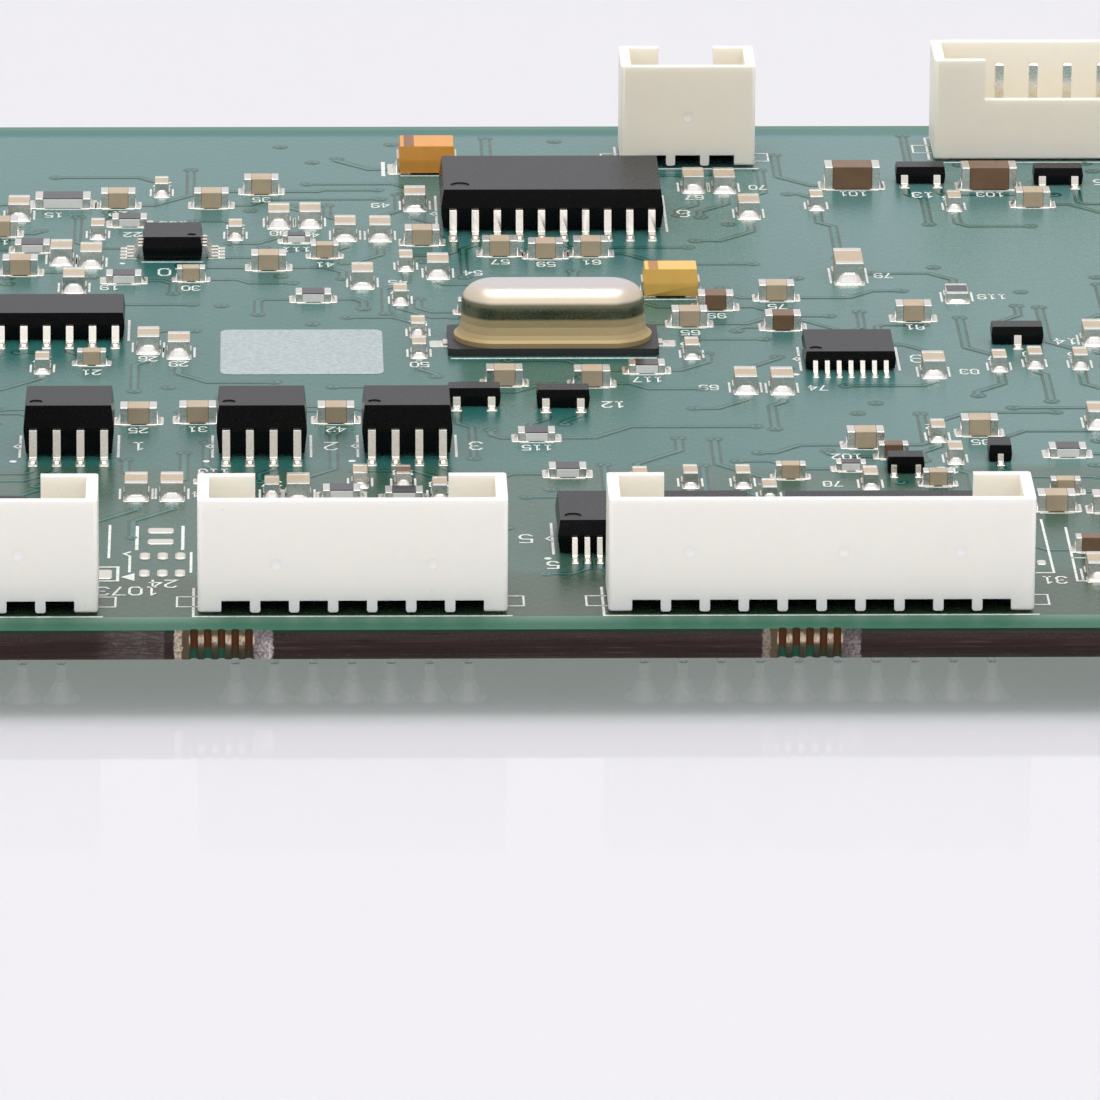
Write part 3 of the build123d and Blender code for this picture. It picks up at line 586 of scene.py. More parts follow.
# ------------------------------------------------------------------ mesh builder
class Build:
    def __init__(self):
        self.v, self.f, self.s = [], [], []

    def add(self, verts, faces, smooth=False, under=False):
        k = len(self.v)
        self.v += [world_pt(*p, under=under) for p in verts]
        if under:
            faces = [f[::-1] for f in faces]
        self.f += [tuple(k + i for i in f) for f in faces]
        self.s += [smooth] * len(faces)

    def poly(self, pts, z0, z1, under=False, inset=0.0):
        """Closed prism over a counter-clockwise outline."""
        n = len(pts)
        if inset:
            cx = sum(p[0] for p in pts) / n
            cy = sum(p[1] for p in pts) / n
            top = []
            for x, y in pts:
                l = math.hypot(x - cx, y - cy) or 1
                top.append((x - (x - cx) / l * inset, y - (y - cy) / l * inset))
            zm = z1 - min(inset * 0.6, (z1 - z0) * 0.6)
            verts = [(x, y, z0) for x, y in pts] + [(x, y, zm) for x, y in pts] + [(x, y, z1) for x, y in top]
            faces = [tuple(range(n))[::-1], tuple(range(2 * n, 3 * n))]
            for lv in (0, n):
                faces += [(lv + i, lv + (i + 1) % n, lv + n + (i + 1) % n, lv + n + i) for i in range(n)]
        else:
            verts = [(x, y, z0) for x, y in pts] + [(x, y, z1) for x, y in pts]
            faces = [tuple(range(n))[::-1], tuple(range(n, 2 * n))]
            faces += [(i, (i + 1) % n, n + (i + 1) % n, n + i) for i in range(n)]
        self.add(verts, faces, under=under)

    def rect(self, x0, x1, y0, y1, z0, z1, r=0.0, under=False, inset=0.0):
        if r <= 0:
            pts = [(x0, y0), (x1, y0), (x1, y1), (x0, y1)]
        else:
            pts = []
            for cx, cy, a0 in ((x1 - r, y0 + r, -90), (x1 - r, y1 - r, 0), (x0 + r, y1 - r, 90), (x0 + r, y0 + r, 180)):
                for k in range(4):
                    a = math.radians(a0 + k * 30)
                    pts.append((cx + r * math.cos(a), cy + r * math.sin(a)))
        self.poly(pts, z0, z1, under, inset)

    def disc(self, x, y, r, z0, z1, n=16, under=False, inset=0.0):
        pts = [(x + r * math.cos(2 * math.pi * i / n), y + r * math.sin(2 * math.pi * i / n)) for i in range(n)]
        self.poly(pts, z0, z1, under, inset)

    def ring(self, x, y, r0, r1, z0, z1, n=24, under=False):
        verts, faces = [], []
        for i in range(n):
            c, s = math.cos(2 * math.pi * i / n), math.sin(2 * math.pi * i / n)
            verts += [(x + r0 * c, y + r0 * s, z0), (x + r1 * c, y + r1 * s, z0),
                      (x + r1 * c, y + r1 * s, z1), (x + r0 * c, y + r0 * s, z1)]
        for i in range(n):
            a, b = 4 * i, 4 * ((i + 1) % n)
            faces += [(a, b, b + 1, a + 1), (a + 1, b + 1, b + 2, a + 2), (a + 2, b + 2, b + 3, a + 3), (a + 3, b + 3, b, a)]
        faces = [f[::-1] for f in faces]
        self.add(verts, faces, under=under)

    def strip(self, pts, w, z0, z1, under=False):
        """Flat strip of width w along a polyline."""
        pts = [p for i, p in enumerate(pts) if i == 0 or math.hypot(p[0] - pts[i - 1][0], p[1] - pts[i - 1][1]) > 1e-4]
        if len(pts) < 2:
            return
        dirs = []
        for a, b in zip(pts, pts[1:]):
            l = math.hypot(b[0] - a[0], b[1] - a[1])
            dirs.append(((b[0] - a[0]) / l, (b[1] - a[1]) / l))
        verts = []
        for i, p in enumerate(pts):
            if i == 0:
                d, k = dirs[0], 1.0
                p = (p[0] - d[0] * w * 0.4, p[1] - d[1] * w * 0.4)
            elif i == len(pts) - 1:
                d, k = dirs[-1], 1.0
                p = (p[0] + d[0] * w * 0.4, p[1] + d[1] * w * 0.4)
            else:
                ax, ay = dirs[i - 1]
                bx, by = dirs[i]
                sx, sy = ax + bx, ay + by
                l = math.hypot(sx, sy)
                if l < 1e-6:
                    d, k = dirs[i], 1.0
                else:
                    d = (sx / l, sy / l)
                    k = min(1.0 / max(0.35, d[0] * bx + d[1] * by), 2.5)
            nx, ny = -d[1] * w / 2 * k, d[0] * w / 2 * k
            verts += [(p[0] + nx, p[1] + ny, z0), (p[0] - nx, p[1] - ny, z0),
                      (p[0] - nx, p[1] - ny, z1), (p[0] + nx, p[1] + ny, z1)]
        faces = [(0, 1, 2, 3)[::-1]]
        for i in range(len(pts) - 1):
            a, b = 4 * i, 4 * (i + 1)
            faces += [(a + 3, a + 2, b + 2, b + 3), (a + 2, a + 1, b + 1, b + 2), (a + 1, a, b, b + 1), (a, a + 3, b + 3, b)]
        k = 4 * (len(pts) - 1)
        faces.append((k, k + 1, k + 2, k + 3))
        faces = [f[::-1] for f in faces]
        self.add(verts, faces, under=under)

    def fillet(self, x, y, ux, uy, w0, w1, length, height, foot=0.03):
        """Concave solder fillet against a face at (x, y), running out along (ux, uy) to a rounded toe."""
        px, py = -uy, ux
        nt, ns = 6, 6
        verts = []
        for i in range(nt + 1):
            t = i / nt
            w = (w0 + (w1 - w0) * t) * math.sqrt(1 - 0.62 * max(0.0, (t - 0.45) / 0.55) ** 2)
            crest = foot * (1 - t) + (height - foot) * (1 - t) ** 2.0
            for j in range(ns + 1):
                s = -1 + 2 * j / ns
                bow = 1 - 0.10 * s * s
                z = 0.0 if i == nt else crest * (1 - abs(s) ** 5)
                verts.append((x + ux * length * t * bow + px * s * w / 2, y + uy * length * t * bow + py * s * w / 2, z))
        k = len(verts)
        row = ns + 1
        verts += [(verts[j][0], verts[j][1], 0.0) for j in range(row)]
        top = [(i * row + j, i * row + j + 1, (i + 1) * row + j + 1, (i + 1) * row + j)[::-1] for i in range(nt) for j in range(ns)]
        rim = [i * row for i in range(1, nt)] + [nt * row + j for j in range(row)] + [i * row + ns for i in range(nt - 1, 0, -1)]
        self.add(verts, top, smooth=True)
        base = len(self.v) - len(verts)
        back = [(j, j + 1, k + j + 1, k + j) for j in range(1, ns - 1)] + [(0, 1, k + 1), (ns - 1, ns, k + ns - 1)]
        under = [tuple([k] + rim + [k + ns] + [k + j for j in range(ns - 1, 0, -1)])]
        for f in back + under:
            self.f.append(tuple(base + i for i in f))
            self.s.append(False)

    def make(self, name, mat, slot):
        me = bpy.data.meshes.new(name)
        me.from_pydata(self.v, [], self.f)
        me.update()
        me.polygons.foreach_set("use_smooth", self.s)
        me.materials.append(mat)
        ob = bpy.data.objects.new(name, me)
        bpy.context.scene.collection.objects.link(ob)
        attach(ob, "root")
        return ob


def islands(name):
    """Bounding boxes, in working millimetres, of the separate solids of a CAD node."""
    me = NODES[name].data
    co = np.zeros(len(me.vertices) * 3, np.float32)
    me.vertices.foreach_get("co", co)
    co = co.reshape(-1, 3) * 1000.0
    key = {}
    idx = np.empty(len(co), int)
    for i, k in enumerate(map(tuple, np.round(co, 3))):
        idx[i] = key.setdefault(k, len(key))
    parent = list(range(len(key)))

    def find(i):
        while parent[i] != i:
            parent[i] = parent[parent[i]]
            i = parent[i]
        return i
    for p in me.polygons:
        vs = [idx[v] for v in p.vertices]
        r = find(vs[0])
        for v in vs[1:]:
            q = find(v)
            if q != r:
                parent[q] = r
    groups = {}
    for i in range(len(co)):
        groups.setdefault(find(idx[i]), []).append(i)
    out = []
    for g in groups.values():
        c = co[g]
        lo, hi = c.min(0), c.max(0)
        out.append((lo[0] - DX, hi[0] - DX, lo[1] - DY, hi[1] - DY, lo[2] - ZT, hi[2] - ZT))
    out.sort(key=lambda b: (round(b[0], 2), round(b[2], 2)))
    return out


# ------------------------------------------------------------------ occupancy for tracks and text
G = 0.1
NX, NY = int(100 / G), int(96 / G)
occ = np.zeros((NX, NY), bool)
occ_b = np.zeros((NX, NY), bool)


def cell(x, y):
    return int((x - X_LO) / G), int((y - Y_LO) / G)


def mark(grid, x0, x1, y0, y1, grow=0.0):
    i0, j0 = cell(x0 - grow, y0 - grow)
    i1, j1 = cell(x1 + grow, y1 + grow)
    grid[max(i0, 0):max(i1 + 1, 0), max(j0, 0):max(j1 + 1, 0)] = True


def box_free(grid, x0, x1, y0, y1):
    if x0 < X_LO + 0.8 or x1 > X_HI - 0.8 or y0 < Y_LO + 0.8 or y1 > Y_HI - 0.8:
        return False
    i0, j0 = cell(x0, y0)
    i1, j1 = cell(x1, y1)
    return not grid[i0:i1 + 1, j0:j1 + 1].any()


def seg_points(a, b, stepping=0.14):
    n = max(1, int(math.hypot(b[0] - a[0], b[1] - a[1]) / stepping))
    return [(a[0] + (b[0] - a[0]) * i / n, a[1] + (b[1] - a[1]) * i / n) for i in range(n + 1)]


def path_free(grid, pts, r=1):
    for a, b in zip(pts, pts[1:]):
        for x, y in seg_points(a, b):
            i, j = cell(x, y)
            if i < 8 or j < 8 or i > NX - 9 or j > NY - 9 or grid[i - r:i + r + 1, j - r:j + r + 1].any():
                return False
    return True


def path_mark(grid, pts, r=3):
    for a, b in zip(pts, pts[1:]):
        for x, y in seg_points(a, b, 0.2):
            i, j = cell(x, y)
            grid[max(i - r, 0):i + r + 1, max(j - r, 0):j + r + 1] = True


for g in (occ, occ_b):
    for sx in (-46, 46):
        for sy in (-44, 44):
            mark(g, sx - DX - 3.3, sx - DX + 3.3, sy - DY - 3.3, sy - DY + 3.3)

pads, solder, silk, starts = Build(), Build(), Build(), []
pins_xy = []
for n, hx, hy, turned in HEADERS:
    row = 4.80 - PIN_ROW if turned else PIN_ROW
    for i in range(n):
        pins_xy.append((hx + 2.0 * i, hy + row))
for x, y in pins_xy:
    for g in (occ, occ_b):
        mark(g, x - 0.75, x + 0.75, y - 0.75, y + 0.75)

# chip parts: a pad and a solder fillet at each end
bodies = []
for kind in ("chip_capacitor", "brown_capacitor", "chip_resistor"):
    ends = islands(kind + "_terminals")
    for b in islands(kind + "_bodies"):
        cx, cy = (b[0] + b[1]) / 2, (b[2] + b[3]) / 2
        two = sorted(ends, key=lambda e: abs((e[0] + e[1]) / 2 - cx) + abs((e[2] + e[3]) / 2 - cy))[:2]
        bodies.append((cx, cy, two, kind))
        along_x = abs((two[0][0] + two[0][1]) - (two[1][0] + two[1][1])) > abs((two[0][2] + two[0][3]) - (two[1][2] + two[1][3]))
        lo_x, hi_x = min(e[0] for e in two), max(e[1] for e in two)
        lo_y, hi_y = min(e[2] for e in two), max(e[3] for e in two)
        out = 0.36 if (hi_x - lo_x) + (hi_y - lo_y) > 2.6 else 0.30
        for e in two:
            ex, ey = (e[0] + e[1]) / 2, (e[2] + e[3]) / 2
            h = e[5]
            hh = h * rng.uniform(0.34, 0.62)
            if along_x:
                s = 1 if ex > cx else -1
                w = e[3] - e[2]
                tip = e[1] if s > 0 else e[0]
                x0, x1 = sorted((tip - s * 0.62, tip + s * out))
                pads.rect(x0, x1, ey - w / 2 - 0.07, ey + w / 2 + 0.07, 0.0, 0.030, 0.10, inset=0.03)
                solder.fillet(tip - s * 0.01, ey, s, 0, w * 0.98, w * 0.96, out - 0.03, hh)
                starts.append((tip + s * (out + 0.22), ey, s, 0, tip, ey, 0.25))
                mark(occ, x0, x1, ey - w / 2, ey + w / 2)
            else:
                s = 1 if ey > cy else -1
                w = e[1] - e[0]
                tip = e[3] if s > 0 else e[2]
                y0, y1 = sorted((tip - s * 0.62, tip + s * out))
                pads.rect(ex - w / 2 - 0.07, ex + w / 2 + 0.07, y0, y1, 0.0, 0.030, 0.10, inset=0.03)
                solder.fillet(ex, tip - s * 0.01, 0, s, w * 0.98, w * 0.96, out - 0.03, hh)
                starts.append((ex, tip + s * (out + 0.22), 0, s, ex, tip, 0.25))
                mark(occ, ex - w / 2, ex + w / 2, y0, y1)
        mark(occ, lo_x, hi_x, lo_y, hi_y)
        # printed brackets along the part's sides
        g0 = 0.24
        if along_x:
            for y in (lo_y - g0, hi_y + g0):
                silk.strip([(lo_x + 0.12, y), (hi_x - 0.12, y)], 0.12, 0.002, 0.020)
        else:
            for x in (lo_x - g0, hi_x + g0):
                silk.strip([(x, lo_y + 0.12), (x, hi_y - 0.12)], 0.12, 0.002, 0.020)

# leaded parts: a pad under each foot, with solder at the toe
LEADED = [("optocoupler", "bodies", 0.60, 0.10, True), ("fine_pitch_ic", "bodies", 0.40, 0.05, True),
          ("narrow_ic", "body", 0.55, 0.10, True), ("wide_ic", "body", 0.60, 0.10, True),
          ("thin_ic", "body", 0.38, 0.05, True), ("small_ic", "body", 0.38, 0.05, True),
          ("transistor", "bodies", 0.30, 0.18, False), ("small_transistor", "body", 0.28, 0.12, False),
          ("diode", "body", 0.30, 0.12, False)]
outlines = []
for stem, tail, out, side, outline in LEADED:
    bs = islands(stem + "_" + tail)
    for b in bs:
        mark(occ, b[0], b[1], b[2], b[3], 0.05)
        outlines.append((stem, b, outline))
    for e in islands(stem + "_leads"):
        ex, ey = (e[0] + e[1]) / 2, (e[2] + e[3]) / 2
        b = min(bs, key=lambda q: max(q[0] - ex, ex - q[1], 0) + max(q[2] - ey, ey - q[3], 0))
        thick = 0.13 if e[5] < 0.9 else 0.18
        if ey < b[2] or ey > b[3]:
            s = 1 if ey > b[3] else -1
            w = e[1] - e[0]
            toe = e[3] if s > 0 else e[2]
            y0, y1 = sorted((toe - s * (0.62 if outline else 0.42), toe + s * out))
            pads.rect(ex - w / 2 - side / 2, ex + w / 2 + side / 2, y0, y1, 0.0, 0.028, 0.06, inset=0.025)
            solder.fillet(ex, toe - s * 0.005, 0, s, w * 0.98, w + side * 0.7, out * 0.72, thick)
            starts.append((ex, toe + s * (out + 0.18), 0, s, ex, toe, 0.20))
            mark(occ, ex - w / 2 - side / 2, ex + w / 2 + side / 2, y0, y1)
        else:
            s = 1 if ex > b[1] else -1
            w = e[3] - e[2]
            toe = e[1] if s > 0 else e[0]
            x0, x1 = sorted((toe - s * (0.62 if outline else 0.42), toe + s * out))
            pads.rect(x0, x1, ey - w / 2 - side / 2, ey + w / 2 + side / 2, 0.0, 0.028, 0.06, inset=0.025)
            solder.fillet(toe - s * 0.005, ey, s, 0, w * 0.98, w + side * 0.7, out * 0.72, thick)
            starts.append((toe + s * (out + 0.18), ey, s, 0, toe, ey, 0.20))
            mark(occ, x0, x1, ey - w / 2 - side / 2, ey + w / 2 + side / 2)

# printed outlines and pin-1 marks of the circuits
for stem, b, outline in outlines:
    x0, x1, y0, y1 = b[:4]
    if outline:
        if stem == "small_ic":
            for y in (y0 - 0.25, y1 + 0.25):
                silk.strip([(x0, y), (x1, y)], 0.13, 0.002, 0.020)
            silk.disc(x0 - 1.15, y0 - 0.55, 0.16, 0.002, 0.020, 12)
        else:
            for x in (x0 - 0.22, x1 + 0.22):
                silk.strip([(x, y0), (x, y1)], 0.14, 0.002, 0.020)
            silk.disc(x0 - 0.55, y0 - 0.75, 0.20, 0.002, 0.020, 12)
            cy = (y0 + y1) / 2
            silk.strip([(x0 - 0.22, cy - 0.45), (x0 - 0.55, cy), (x0 - 0.22, cy + 0.45)], 0.12, 0.002, 0.020)

# crystal and tantalum capacitors
for name, out in (("crystal_terminals", 0.75), ("tantalum_terminals", 0.55)):
    parts = islands(name)
    mids = {"crystal_terminals": [(17.55, 48.4)], "tantalum_terminals": [(11.1, 84.15), (24.45, 58.2)]}[name]
    for e in parts:
        ex, ey = (e[0] + e[1]) / 2, (e[2] + e[3]) / 2
        mx = min(mids, key=lambda q: abs(q[0] - ex) + abs(q[1] - ey))
        s = 1 if ex > mx[0] else -1
        w = e[3] - e[2]
        tip = e[1] if s > 0 else e[0]
        x0, x1 = sorted((tip - s * (1.3 if name[0] == "c" else 0.9), tip + s * out))
        pads.rect(x0, x1, ey - w / 2 - 0.12, ey + w / 2 + 0.12, 0.0, 0.030, 0.12, inset=0.03)
        solder.fillet(tip - s * 0.01, ey, s, 0, w * 0.97, w + 0.1, out - 0.1, 0.15 if name[0] == "c" else e[5] * 0.55)
        starts.append((tip + s * (out + 0.25), ey, s, 0, tip, ey, 0.35))
        mark(occ, x0, x1, ey - w / 2 - 0.1, ey + w / 2 + 0.1)
mark(occ, 17.55 - 6.0, 17.55 + 6.0, 48.4 - 2.6, 48.4 + 2.6)
mark(occ, 9.3, 12.9, 82.8, 85.5)
mark(occ, 22.8, 26.1, 57.2, 59.2)
for y in (45.55, 51.25):
    silk.strip([(11.9, y), (23.2, y)], 0.15, 0.002, 0.020)
for x0, x1, y0, y1 in ((9.3, 12.9, 82.72, 85.62), (22.7, 26.2, 57.02, 59.38)):
    for y in (y0, y1):
        silk.strip([(x0 + 0.3, y), (x1 - 0.3, y)], 0.13, 0.002, 0.020)
    silk.strip([(x0 - 0.75, y0), (x0 - 0.75, y1)], 0.22, 0.002, 0.020)

# header outlines: front line, left-hand line, small boxes at both ends
for n, hx, hy, turned in HEADERS:
    x0, x1 = hx - 1.95, hx + (n - 1) * 2 + 1.95
    mark(occ, x0, x1, hy, hy + 4.8)
    f = (lambda y, a=hy: a + 4.8 - (y - a)) if turned else (lambda y: y)
    front, back = f(hy - 0.27), f(hy + 5.07)
    silk.strip([(x0 - 0.22, f(hy + 4.4)), (x0 - 0.22, front), (x1 + 0.20, front)], 0.14, 0.002, 0.022)
    silk.strip([(x0 + 0.5, back), (x1 - 0.5, back)], 0.14, 0.002, 0.022)
    for s, xa in ((-1, x0 - 0.05), (1, x1 + 0.05)):
        xb = xa + s * (1.02 if s < 0 else 0.82)
        silk.strip([(xa, f(hy + 3.0)), (xb, f(hy + 3.0)), (xb, f(hy + 1.35)), (xa, f(hy + 1.35))], 0.11, 0.002, 0.022)

# empty footprints by the left and right front headers
for x in (-4.74, -3.81, -2.89):
    for y in (6.95, 9.85):
        pads.rect(x - 0.27, x + 0.27, y - 0.58, y + 0.58, 0.0, 0.090, 0.20, inset=0.16)
        mark(occ, x - 0.3, x + 0.3, y - 0.62, y + 0.62)
        starts.append((x, y + (0.78 if y > 8 else -0.78), 0, 1 if y > 8 else -1, x, y, 0.20))
silk.strip([(-5.52, 10.6), (-5.84, 10.3), (-5.52, 9.9), (-5.52, 7.2)], 0.14, 0.002, 0.020)
silk.strip([(-2.33, 10.5), (-2.33, 7.1)], 0.14, 0.002, 0.020)
for y in (12.35, 14.25):
    pads.rect(-4.62, -3.26, y - 0.42, y + 0.42, 0.0, 0.045, 0.15, inset=0.06)
    mark(occ, -4.7, -3.2, y - 0.45, y + 0.45)
silk.strip([(-5.18, 11.0), (-5.18, 15.0)], 0.17, 0.002, 0.020)
silk.strip([(-2.78, 11.0), (-2.78, 15.0)], 0.17, 0.002, 0.020)
pads.rect(-7.55, -6.42, 6.05, 7.55, 0.0, 0.045, 0.15, inset=0.06)
mark(occ, -7.6, -6.3, 6.0, 7.6)
silk.strip([(-7.6, 8.05), (-6.12, 8.05), (-6.12, 5.70), (-7.6, 5.70)], 0.16, 0.002, 0.020)
silk.poly([(-5.95, 6.35), (-5.25, 5.70), (-5.25, 7.00)], 0.002, 0.020)
silk.strip([(-6.62, 9.6), (-6.62, 15.2)], 0.14, 0.002, 0.020)
pads.rect(41.75, 42.2, 8.0, 8.8, 0.0, 0.045, 0.12, inset=0.06)
mark(occ, 41.7, 42.3, 7.9, 8.9)
silk.strip([(42.46, 15.8), (42.50, 6.67), (41.6, 6.67)], 0.13, 0.002, 0.020)
silk.strip([(43.66, 14.4), (43.62, 5.28), (46.1, 5.28), (46.1, 14.4)], 0.13, 0.002, 0.020)
silk.strip([(43.62, 9.2), (46.1, 9.2)], 0.11, 0.002, 0.020)
# plain write-on block behind the couplers
block = Build()
block.rect(-0.9, 8.1, 42.6, 51.2, 0.002, 0.018, 0.5)
mark(occ, -1.0, 8.2, 42.5, 51.3)

# ------------------------------------------------------------------ plain numbers in ink
STROKES = {
    "0": [[(0, 1), (1, 0), (3, 0), (4, 1), (4, 5), (3, 6), (1, 6), (0, 5), (0, 1)]],
    "1": [[(0.8, 4.8), (2.1, 6), (2.1, 0)], [(0.8, 0), (3.4, 0)]],
    "2": [[(0, 5), (1, 6), (3, 6), (4, 5), (4, 3.8), (0, 0), (4, 0)]],
    "3": [[(0, 5), (1, 6), (3, 6), (4, 5), (4, 4), (3, 3.1), (1.5, 3.1)], [(3, 3.1), (4, 2.2), (4, 1), (3, 0), (1, 0), (0, 1)]],
    "4": [[(3.1, 0), (3.1, 6), (0, 2), (4.2, 2)]],
    "5": [[(4, 6), (0.2, 6), (0, 3.4), (3, 3.4), (4, 2.5), (4, 1), (3, 0), (1, 0), (0, 1)]],
    "6": [[(4, 5.2), (3, 6), (1, 6), (0, 5), (0, 1), (1, 0), (3, 0), (4, 1), (4, 2.4), (3, 3.3), (0.1, 3.3)]],
    "7": [[(0, 6), (4, 6), (1.5, 0)]],
    "8": [[(1, 3.2), (0, 4), (0, 5), (1, 6), (3, 6), (4, 5), (4, 4), (3, 3.2), (1, 3.2), (0, 2.3), (0, 1), (1, 0), (3, 0), (4, 1), (4, 2.3), (3, 3.2)]],
    "9": [[(0, 0.8), (1, 0), (3, 0), (4, 1), (4, 5), (3, 6), (1, 6), (0, 5), (0, 3.7), (1, 2.8), (3.9, 2.8)]],
}
occ_t = occ.copy()


def number(text, x, y, h, turn=0, stroke=0.13, under=False):
    """Strokes of a plain number, centred on (x, y)."""
    k = h / 6.0
    total = (len(text) * 5.6 - 1.6) * k * 0.70
    c, s = math.cos(math.radians(turn)), math.sin(math.radians(turn))
    for i, ch in enumerate(text):
        for line in STROKES[ch]:
            pts = []
            for px, py in line:
                a, b = (i * 5.6 + px) * k * 0.70 - total / 2, py * k - h / 2
                if under:
                    a = -a
                pts.append((x + a * c - b * s, y + a * s + b * c))
            (silk_b if under else silk).strip(pts, stroke, 0.002, 0.020, under=under)
    return total


silk_b = Build()
number("24", -3.75, 5.20, 1.20, 180, 0.13)
number("1073", -5.60, 4.00, 1.30, 180, 0.13)
number("5", 16.50, 8.20, 1.15, 180, 0.14)
number("31", 42.45, 5.45, 1.10, 180, 0.12)
mark(occ_t, -7.5, -2.0, 3.2, 6.0)
count = 10
for cx, cy, two, kind in bodies:
    count += 1
    if count % 4 == 0:
        continue
    text = str(count)
    h = 0.88
    w = (len(text) * 5.6 - 1.6) * h / 6 * 0.70
    for ox, oy in ((0, -1.75), (0, 1.75), (2.0, 0), (-2.0, 0), (0, -2.2), (0, 2.2), (2.5, 0), (-2.5, 0)):
        x, y = cx + ox, cy + oy
        if box_free(occ_t, x - w / 2 - 0.15, x + w / 2 + 0.15, y - h / 2 - 0.15, y + h / 2 + 0.15):
            number(text, x, y, h, 180, 0.10)
            mark(occ_t, x - w / 2 - 0.15, x + w / 2 + 0.15, y - h / 2 - 0.15, y + h / 2 + 0.15)
            break
for k, (stem, b, outline) in enumerate(outlines):
    text = str(k + 1)
    h = 1.35 if outline else 1.05
    w = (len(text) * 5.6 - 1.6) * h / 6 * 0.70
    cx, cy = (b[0] + b[1]) / 2, (b[2] + b[3]) / 2
    for ox, oy in ((b[1] - cx + 1.3, 0), (b[0] - cx - 1.6, 0), (0, b[2] - cy - 2.3), (0, b[3] - cy + 2.3), (b[1] - cx + 1.3, 1.8)):
        x, y = cx + ox, cy + oy
        if box_free(occ_t, x - w / 2 - 0.15, x + w / 2 + 0.15, y - h / 2 - 0.15, y + h / 2 + 0.15):
            number(text, x, y, h, 180, 0.13)
            mark(occ_t, x - w / 2 - 0.15, x + w / 2 + 0.15, y - h / 2 - 0.15, y + h / 2 + 0.15)
            break

# ------------------------------------------------------------------ tracks and vias
tracks, gaps, vias, holes = Build(), Build(), Build(), Build()
via_xy = []


def add_via(x, y):
    via_xy.append((x, y))
    gaps.disc(x, y, 0.48, 0.0008, 0.003, 16)
    vias.disc(x, y, 0.31, 0.0, 0.028, 16, inset=0.08)
    holes.disc(x, y, 0.13, 0.012, 0.0295, 10)
    gaps.disc(x, y, 0.48, 0.0008, 0.003, 16, under=True)
    vias.disc(x, y, 0.31, 0.0, 0.028, 16, under=True, inset=0.08)
    holes.disc(x, y, 0.13, 0.012, 0.0295, 10, under=True)


def lay(pts, w, from_pad=None, under=False):
    full = ([from_pad] if from_pad else []) + pts
    gaps.strip(full, w + 0.34, 0.0006, 0.0022, under=under)
    tracks.strip(full, w, 0.0010, 0.018, under=under)


# the band along the front edge carries no copper on this side
mark(occ, X_LO, X_HI, Y_LO, 6.0)
rng.shuffle(starts)
for sx, sy, ux, uy, px, py, w in starts:
    for attempt in range(14):
        l1 = rng.uniform(0.2, 2.6)
        l2 = rng.uniform(0.4, 3.4)
        l3 = rng.uniform(0.3, 7.0) * (1 if attempt < 8 else 0.4)
        side = rng.choice((-1, 1))
        p0 = (sx, sy)
        p1 = (p0[0] + ux * l1, p0[1] + uy * l1)
        d2 = ((ux - side * uy) * 0.7071, (uy + side * ux) * 0.7071)
        p2 = (p1[0] + d2[0] * l2, p1[1] + d2[1] * l2)
        if rng.random() < 0.5:
            d3 = (ux, uy)
        else:
            d3 = (-side * uy, side * ux)
        p3 = (p2[0] + d3[0] * l3, p2[1] + d3[1] * l3)
        if path_free(occ, [p0, p1, p2, p3]) and box_free(occ, p3[0] - 0.4, p3[0] + 0.4, p3[1] - 0.4, p3[1] + 0.4):
            lay([p0, p1, p2, p3], w, (px, py))
            path_mark(occ, [p0, p1, p2, p3])
            add_via(*p3)
            mark(occ, p3[0] - 0.55, p3[0] + 0.55, p3[1] - 0.55, p3[1] + 0.55)
            mark(occ_b, p3[0] - 0.55, p3[0] + 0.55, p3[1] - 0.55, p3[1] + 0.55)
            break

# bundles of long tracks across open parts of the board
for bx, by, length, lean, many, horizontal in (
        (-33, 31.0, 24, 1, 4, True), (20, 33.5, 24, -1, 5, True), (-31, 58.0, 18, 1, 3, True), (36, 66.0, 24, 1, 5, True),
        (52, 14.0, 34, 1, 4, False), (-30, 66.0, 22, -1, 4, False), (27, 62.5, 14, 1, 3, False), (-26, 24.0, 26, 1, 3, False)):
    for k in range(many):
        o = k * 0.62
        if horizontal:
            pts = [(bx, by + o), (bx + length * 0.4, by + o), (bx + length * 0.4 + 2.4, by + o + lean * 2.4), (bx + length, by + o + lean * 2.4)]
        else:
            pts = [(bx + o, by), (bx + o, by + length * 0.45), (bx + o + lean * 2.1, by + length * 0.45 + 2.1), (bx + o + lean * 2.1, by + length)]
        # lay a line only where the whole of it is free
        if path_free(occ, pts):
            lay(pts, 0.24)
            path_mark(occ, pts, 3)
            for p in (pts[0], pts[-1]):
                if box_free(occ_b, p[0] - 0.5, p[0] + 0.5, p[1] - 0.5, p[1] + 0.5):
                    add_via(*p)
                    mark(occ_b, p[0] - 0.55, p[0] + 0.55, p[1] - 0.55, p[1] + 0.55)

# stitching vias of the ground fill
for i in range(260):
    x, y = rng.uniform(X_LO + 2, X_HI - 2), rng.uniform(12, Y_HI - 2)
    if box_free(occ, x - 0.7, x + 0.7, y - 0.7, y + 0.7) and box_free(occ_b, x - 0.7, x + 0.7, y - 0.7, y + 0.7) and box_free(occ_t, x - 0.6, x + 0.6, y - 0.6, y + 0.6):
        add_via(x, y)
        mark(occ, x - 0.7, x + 0.7, y - 0.7, y + 0.7)
        mark(occ_b, x - 0.7, x + 0.7, y - 0.7, y + 0.7)

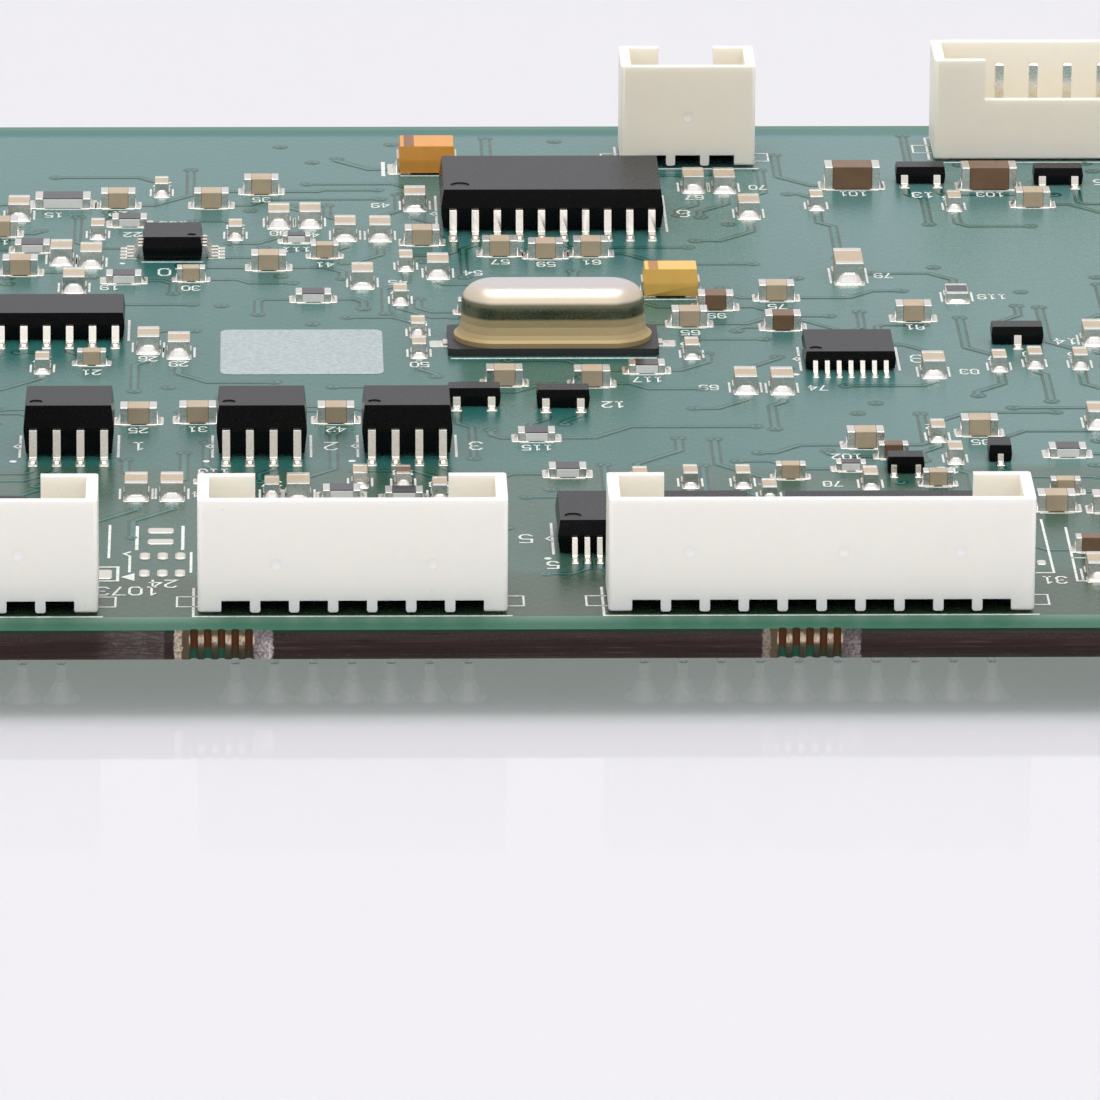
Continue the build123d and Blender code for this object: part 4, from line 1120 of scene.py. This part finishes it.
# underside: tracks from the header pins and between vias
ends = [(x, y, 0, 1 if y < 40 else -1) for x, y in pins_xy] + [(x, y, *rng.choice(((0, 1), (0, -1), (1, 0), (-1, 0)))) for x, y in via_xy[::2]]
for x, y, ux, uy in ends:
    for attempt in range(12):
        g = 0.95 if (x, y) in pins_xy else 0.75
        l1, l2, l3 = rng.uniform(0.5, 9.0), rng.uniform(0.5, 5.0), rng.uniform(1.0, 14.0)
        side = rng.choice((-1, 1))
        p0 = (x + ux * g, y + uy * g)
        p1 = (p0[0] + ux * l1, p0[1] + uy * l1)
        p2 = (p1[0] + (ux - side * uy) * 0.7071 * l2, p1[1] + (uy + side * ux) * 0.7071 * l2)
        p3 = (p2[0] + ux * l3, p2[1] + uy * l3)
        if path_free(occ_b, [p0, p1, p2, p3]) and box_free(occ_b, p3[0] - 0.35, p3[0] + 0.35, p3[1] - 0.35, p3[1] + 0.35):
            lay([p0, p1, p2, p3], 0.28, (x, y), under=True)
            path_mark(occ_b, [p0, p1, p2, p3])
            gaps.disc(*p3, 0.48, 0.0008, 0.003, 16, under=True)
            vias.disc(*p3, 0.31, 0.0, 0.028, 16, under=True, inset=0.08)
            mark(occ_b, p3[0] - 0.55, p3[0] + 0.55, p3[1] - 0.55, p3[1] + 0.55)
            break

# rings round the header pins and the fixing holes
rings = Build()
for x, y in pins_xy:
    rings.ring(x, y, 0.50, 0.98, 0.0, 0.030, under=True)
for sx in (-46, 46):
    for sy in (-44, 44):
        for under in (False, True):
            rings.ring(sx - DX, sy - DY, 1.60, 2.90, 0.0, 0.030, n=48, under=under)
number("1", -21.0, 5.9, 1.1, 180, 0.15)
# underside: a plain number beside the first pin of each header
for k, (n, hx, hy, turned) in enumerate(HEADERS):
    number(str(k + 1), hx - 1.9 if hx > 0 else hx + (n - 1) * 2 + 2.1, hy + 2.6 if hy > 40 else 13.0, 1.5, 0, 0.16, under=True)

pads.make("tinned_pads", M_PAD, "solder")
solder.make("solder_fillets", M_ENDS, "solder")
silk.make("silkscreen_top", M_INK, "board_laminate")
block.make("write_on_block", M_THIN_INK, "board_laminate")
silk_b.make("silkscreen_under", M_INK, "board_laminate")
gaps.make("track_clearances", M_GAP, "board_laminate")
tracks.make("masked_tracks", M_TRACE, "board_laminate")
vias.make("tented_vias", M_TRACE, "board_laminate")
holes.make("via_hollows", M_VIA, "board_laminate")
rings.make("hole_rings", M_PAD, "solder")

# ------------------------------------------------------------------ stage
for name, z, mat in (("table_top", 0.0, glass_top_mat()), ("white_card", -0.00125, card_mat())):
    me = bpy.data.meshes.new(name)
    s = 4.0
    me.from_pydata([(-s, -s, z), (s, -s, z), (s, s, z), (-s, s, z)], [], [(0, 1, 2, 3)])
    me.materials.append(mat)
    sheet = bpy.data.objects.new(name, me)
    bpy.context.scene.collection.objects.link(sheet)

world = bpy.data.worlds.new("studio")
bpy.context.scene.world = world
world.use_nodes = True
bg = world.node_tree.nodes["Background"]
bg.inputs["Color"].default_value = (0.975, 0.97, 1.0, 1)
bg.inputs["Strength"].default_value = 0.96


def area(name, pos, target, size, power, color=(1, 1, 1)):
    d = bpy.data.lights.new(name, "AREA")
    d.shape = "RECTANGLE"
    d.size, d.size_y = size
    d.energy = power
    d.color = color
    o = bpy.data.objects.new(name, d)
    o.location = pos
    o.rotation_euler = (Vector(target) - Vector(pos)).to_track_quat("-Z", "Y").to_euler()
    bpy.context.scene.collection.objects.link(o)
    return o


area("overhead", (0.0, -0.01, 1.0), (0, 0, 0), (0.60, 0.55), 4.4)
area("front_fill", (0.0, -1.2, 0.75), (0, 0, 0), (1.5, 0.8), 1.7)

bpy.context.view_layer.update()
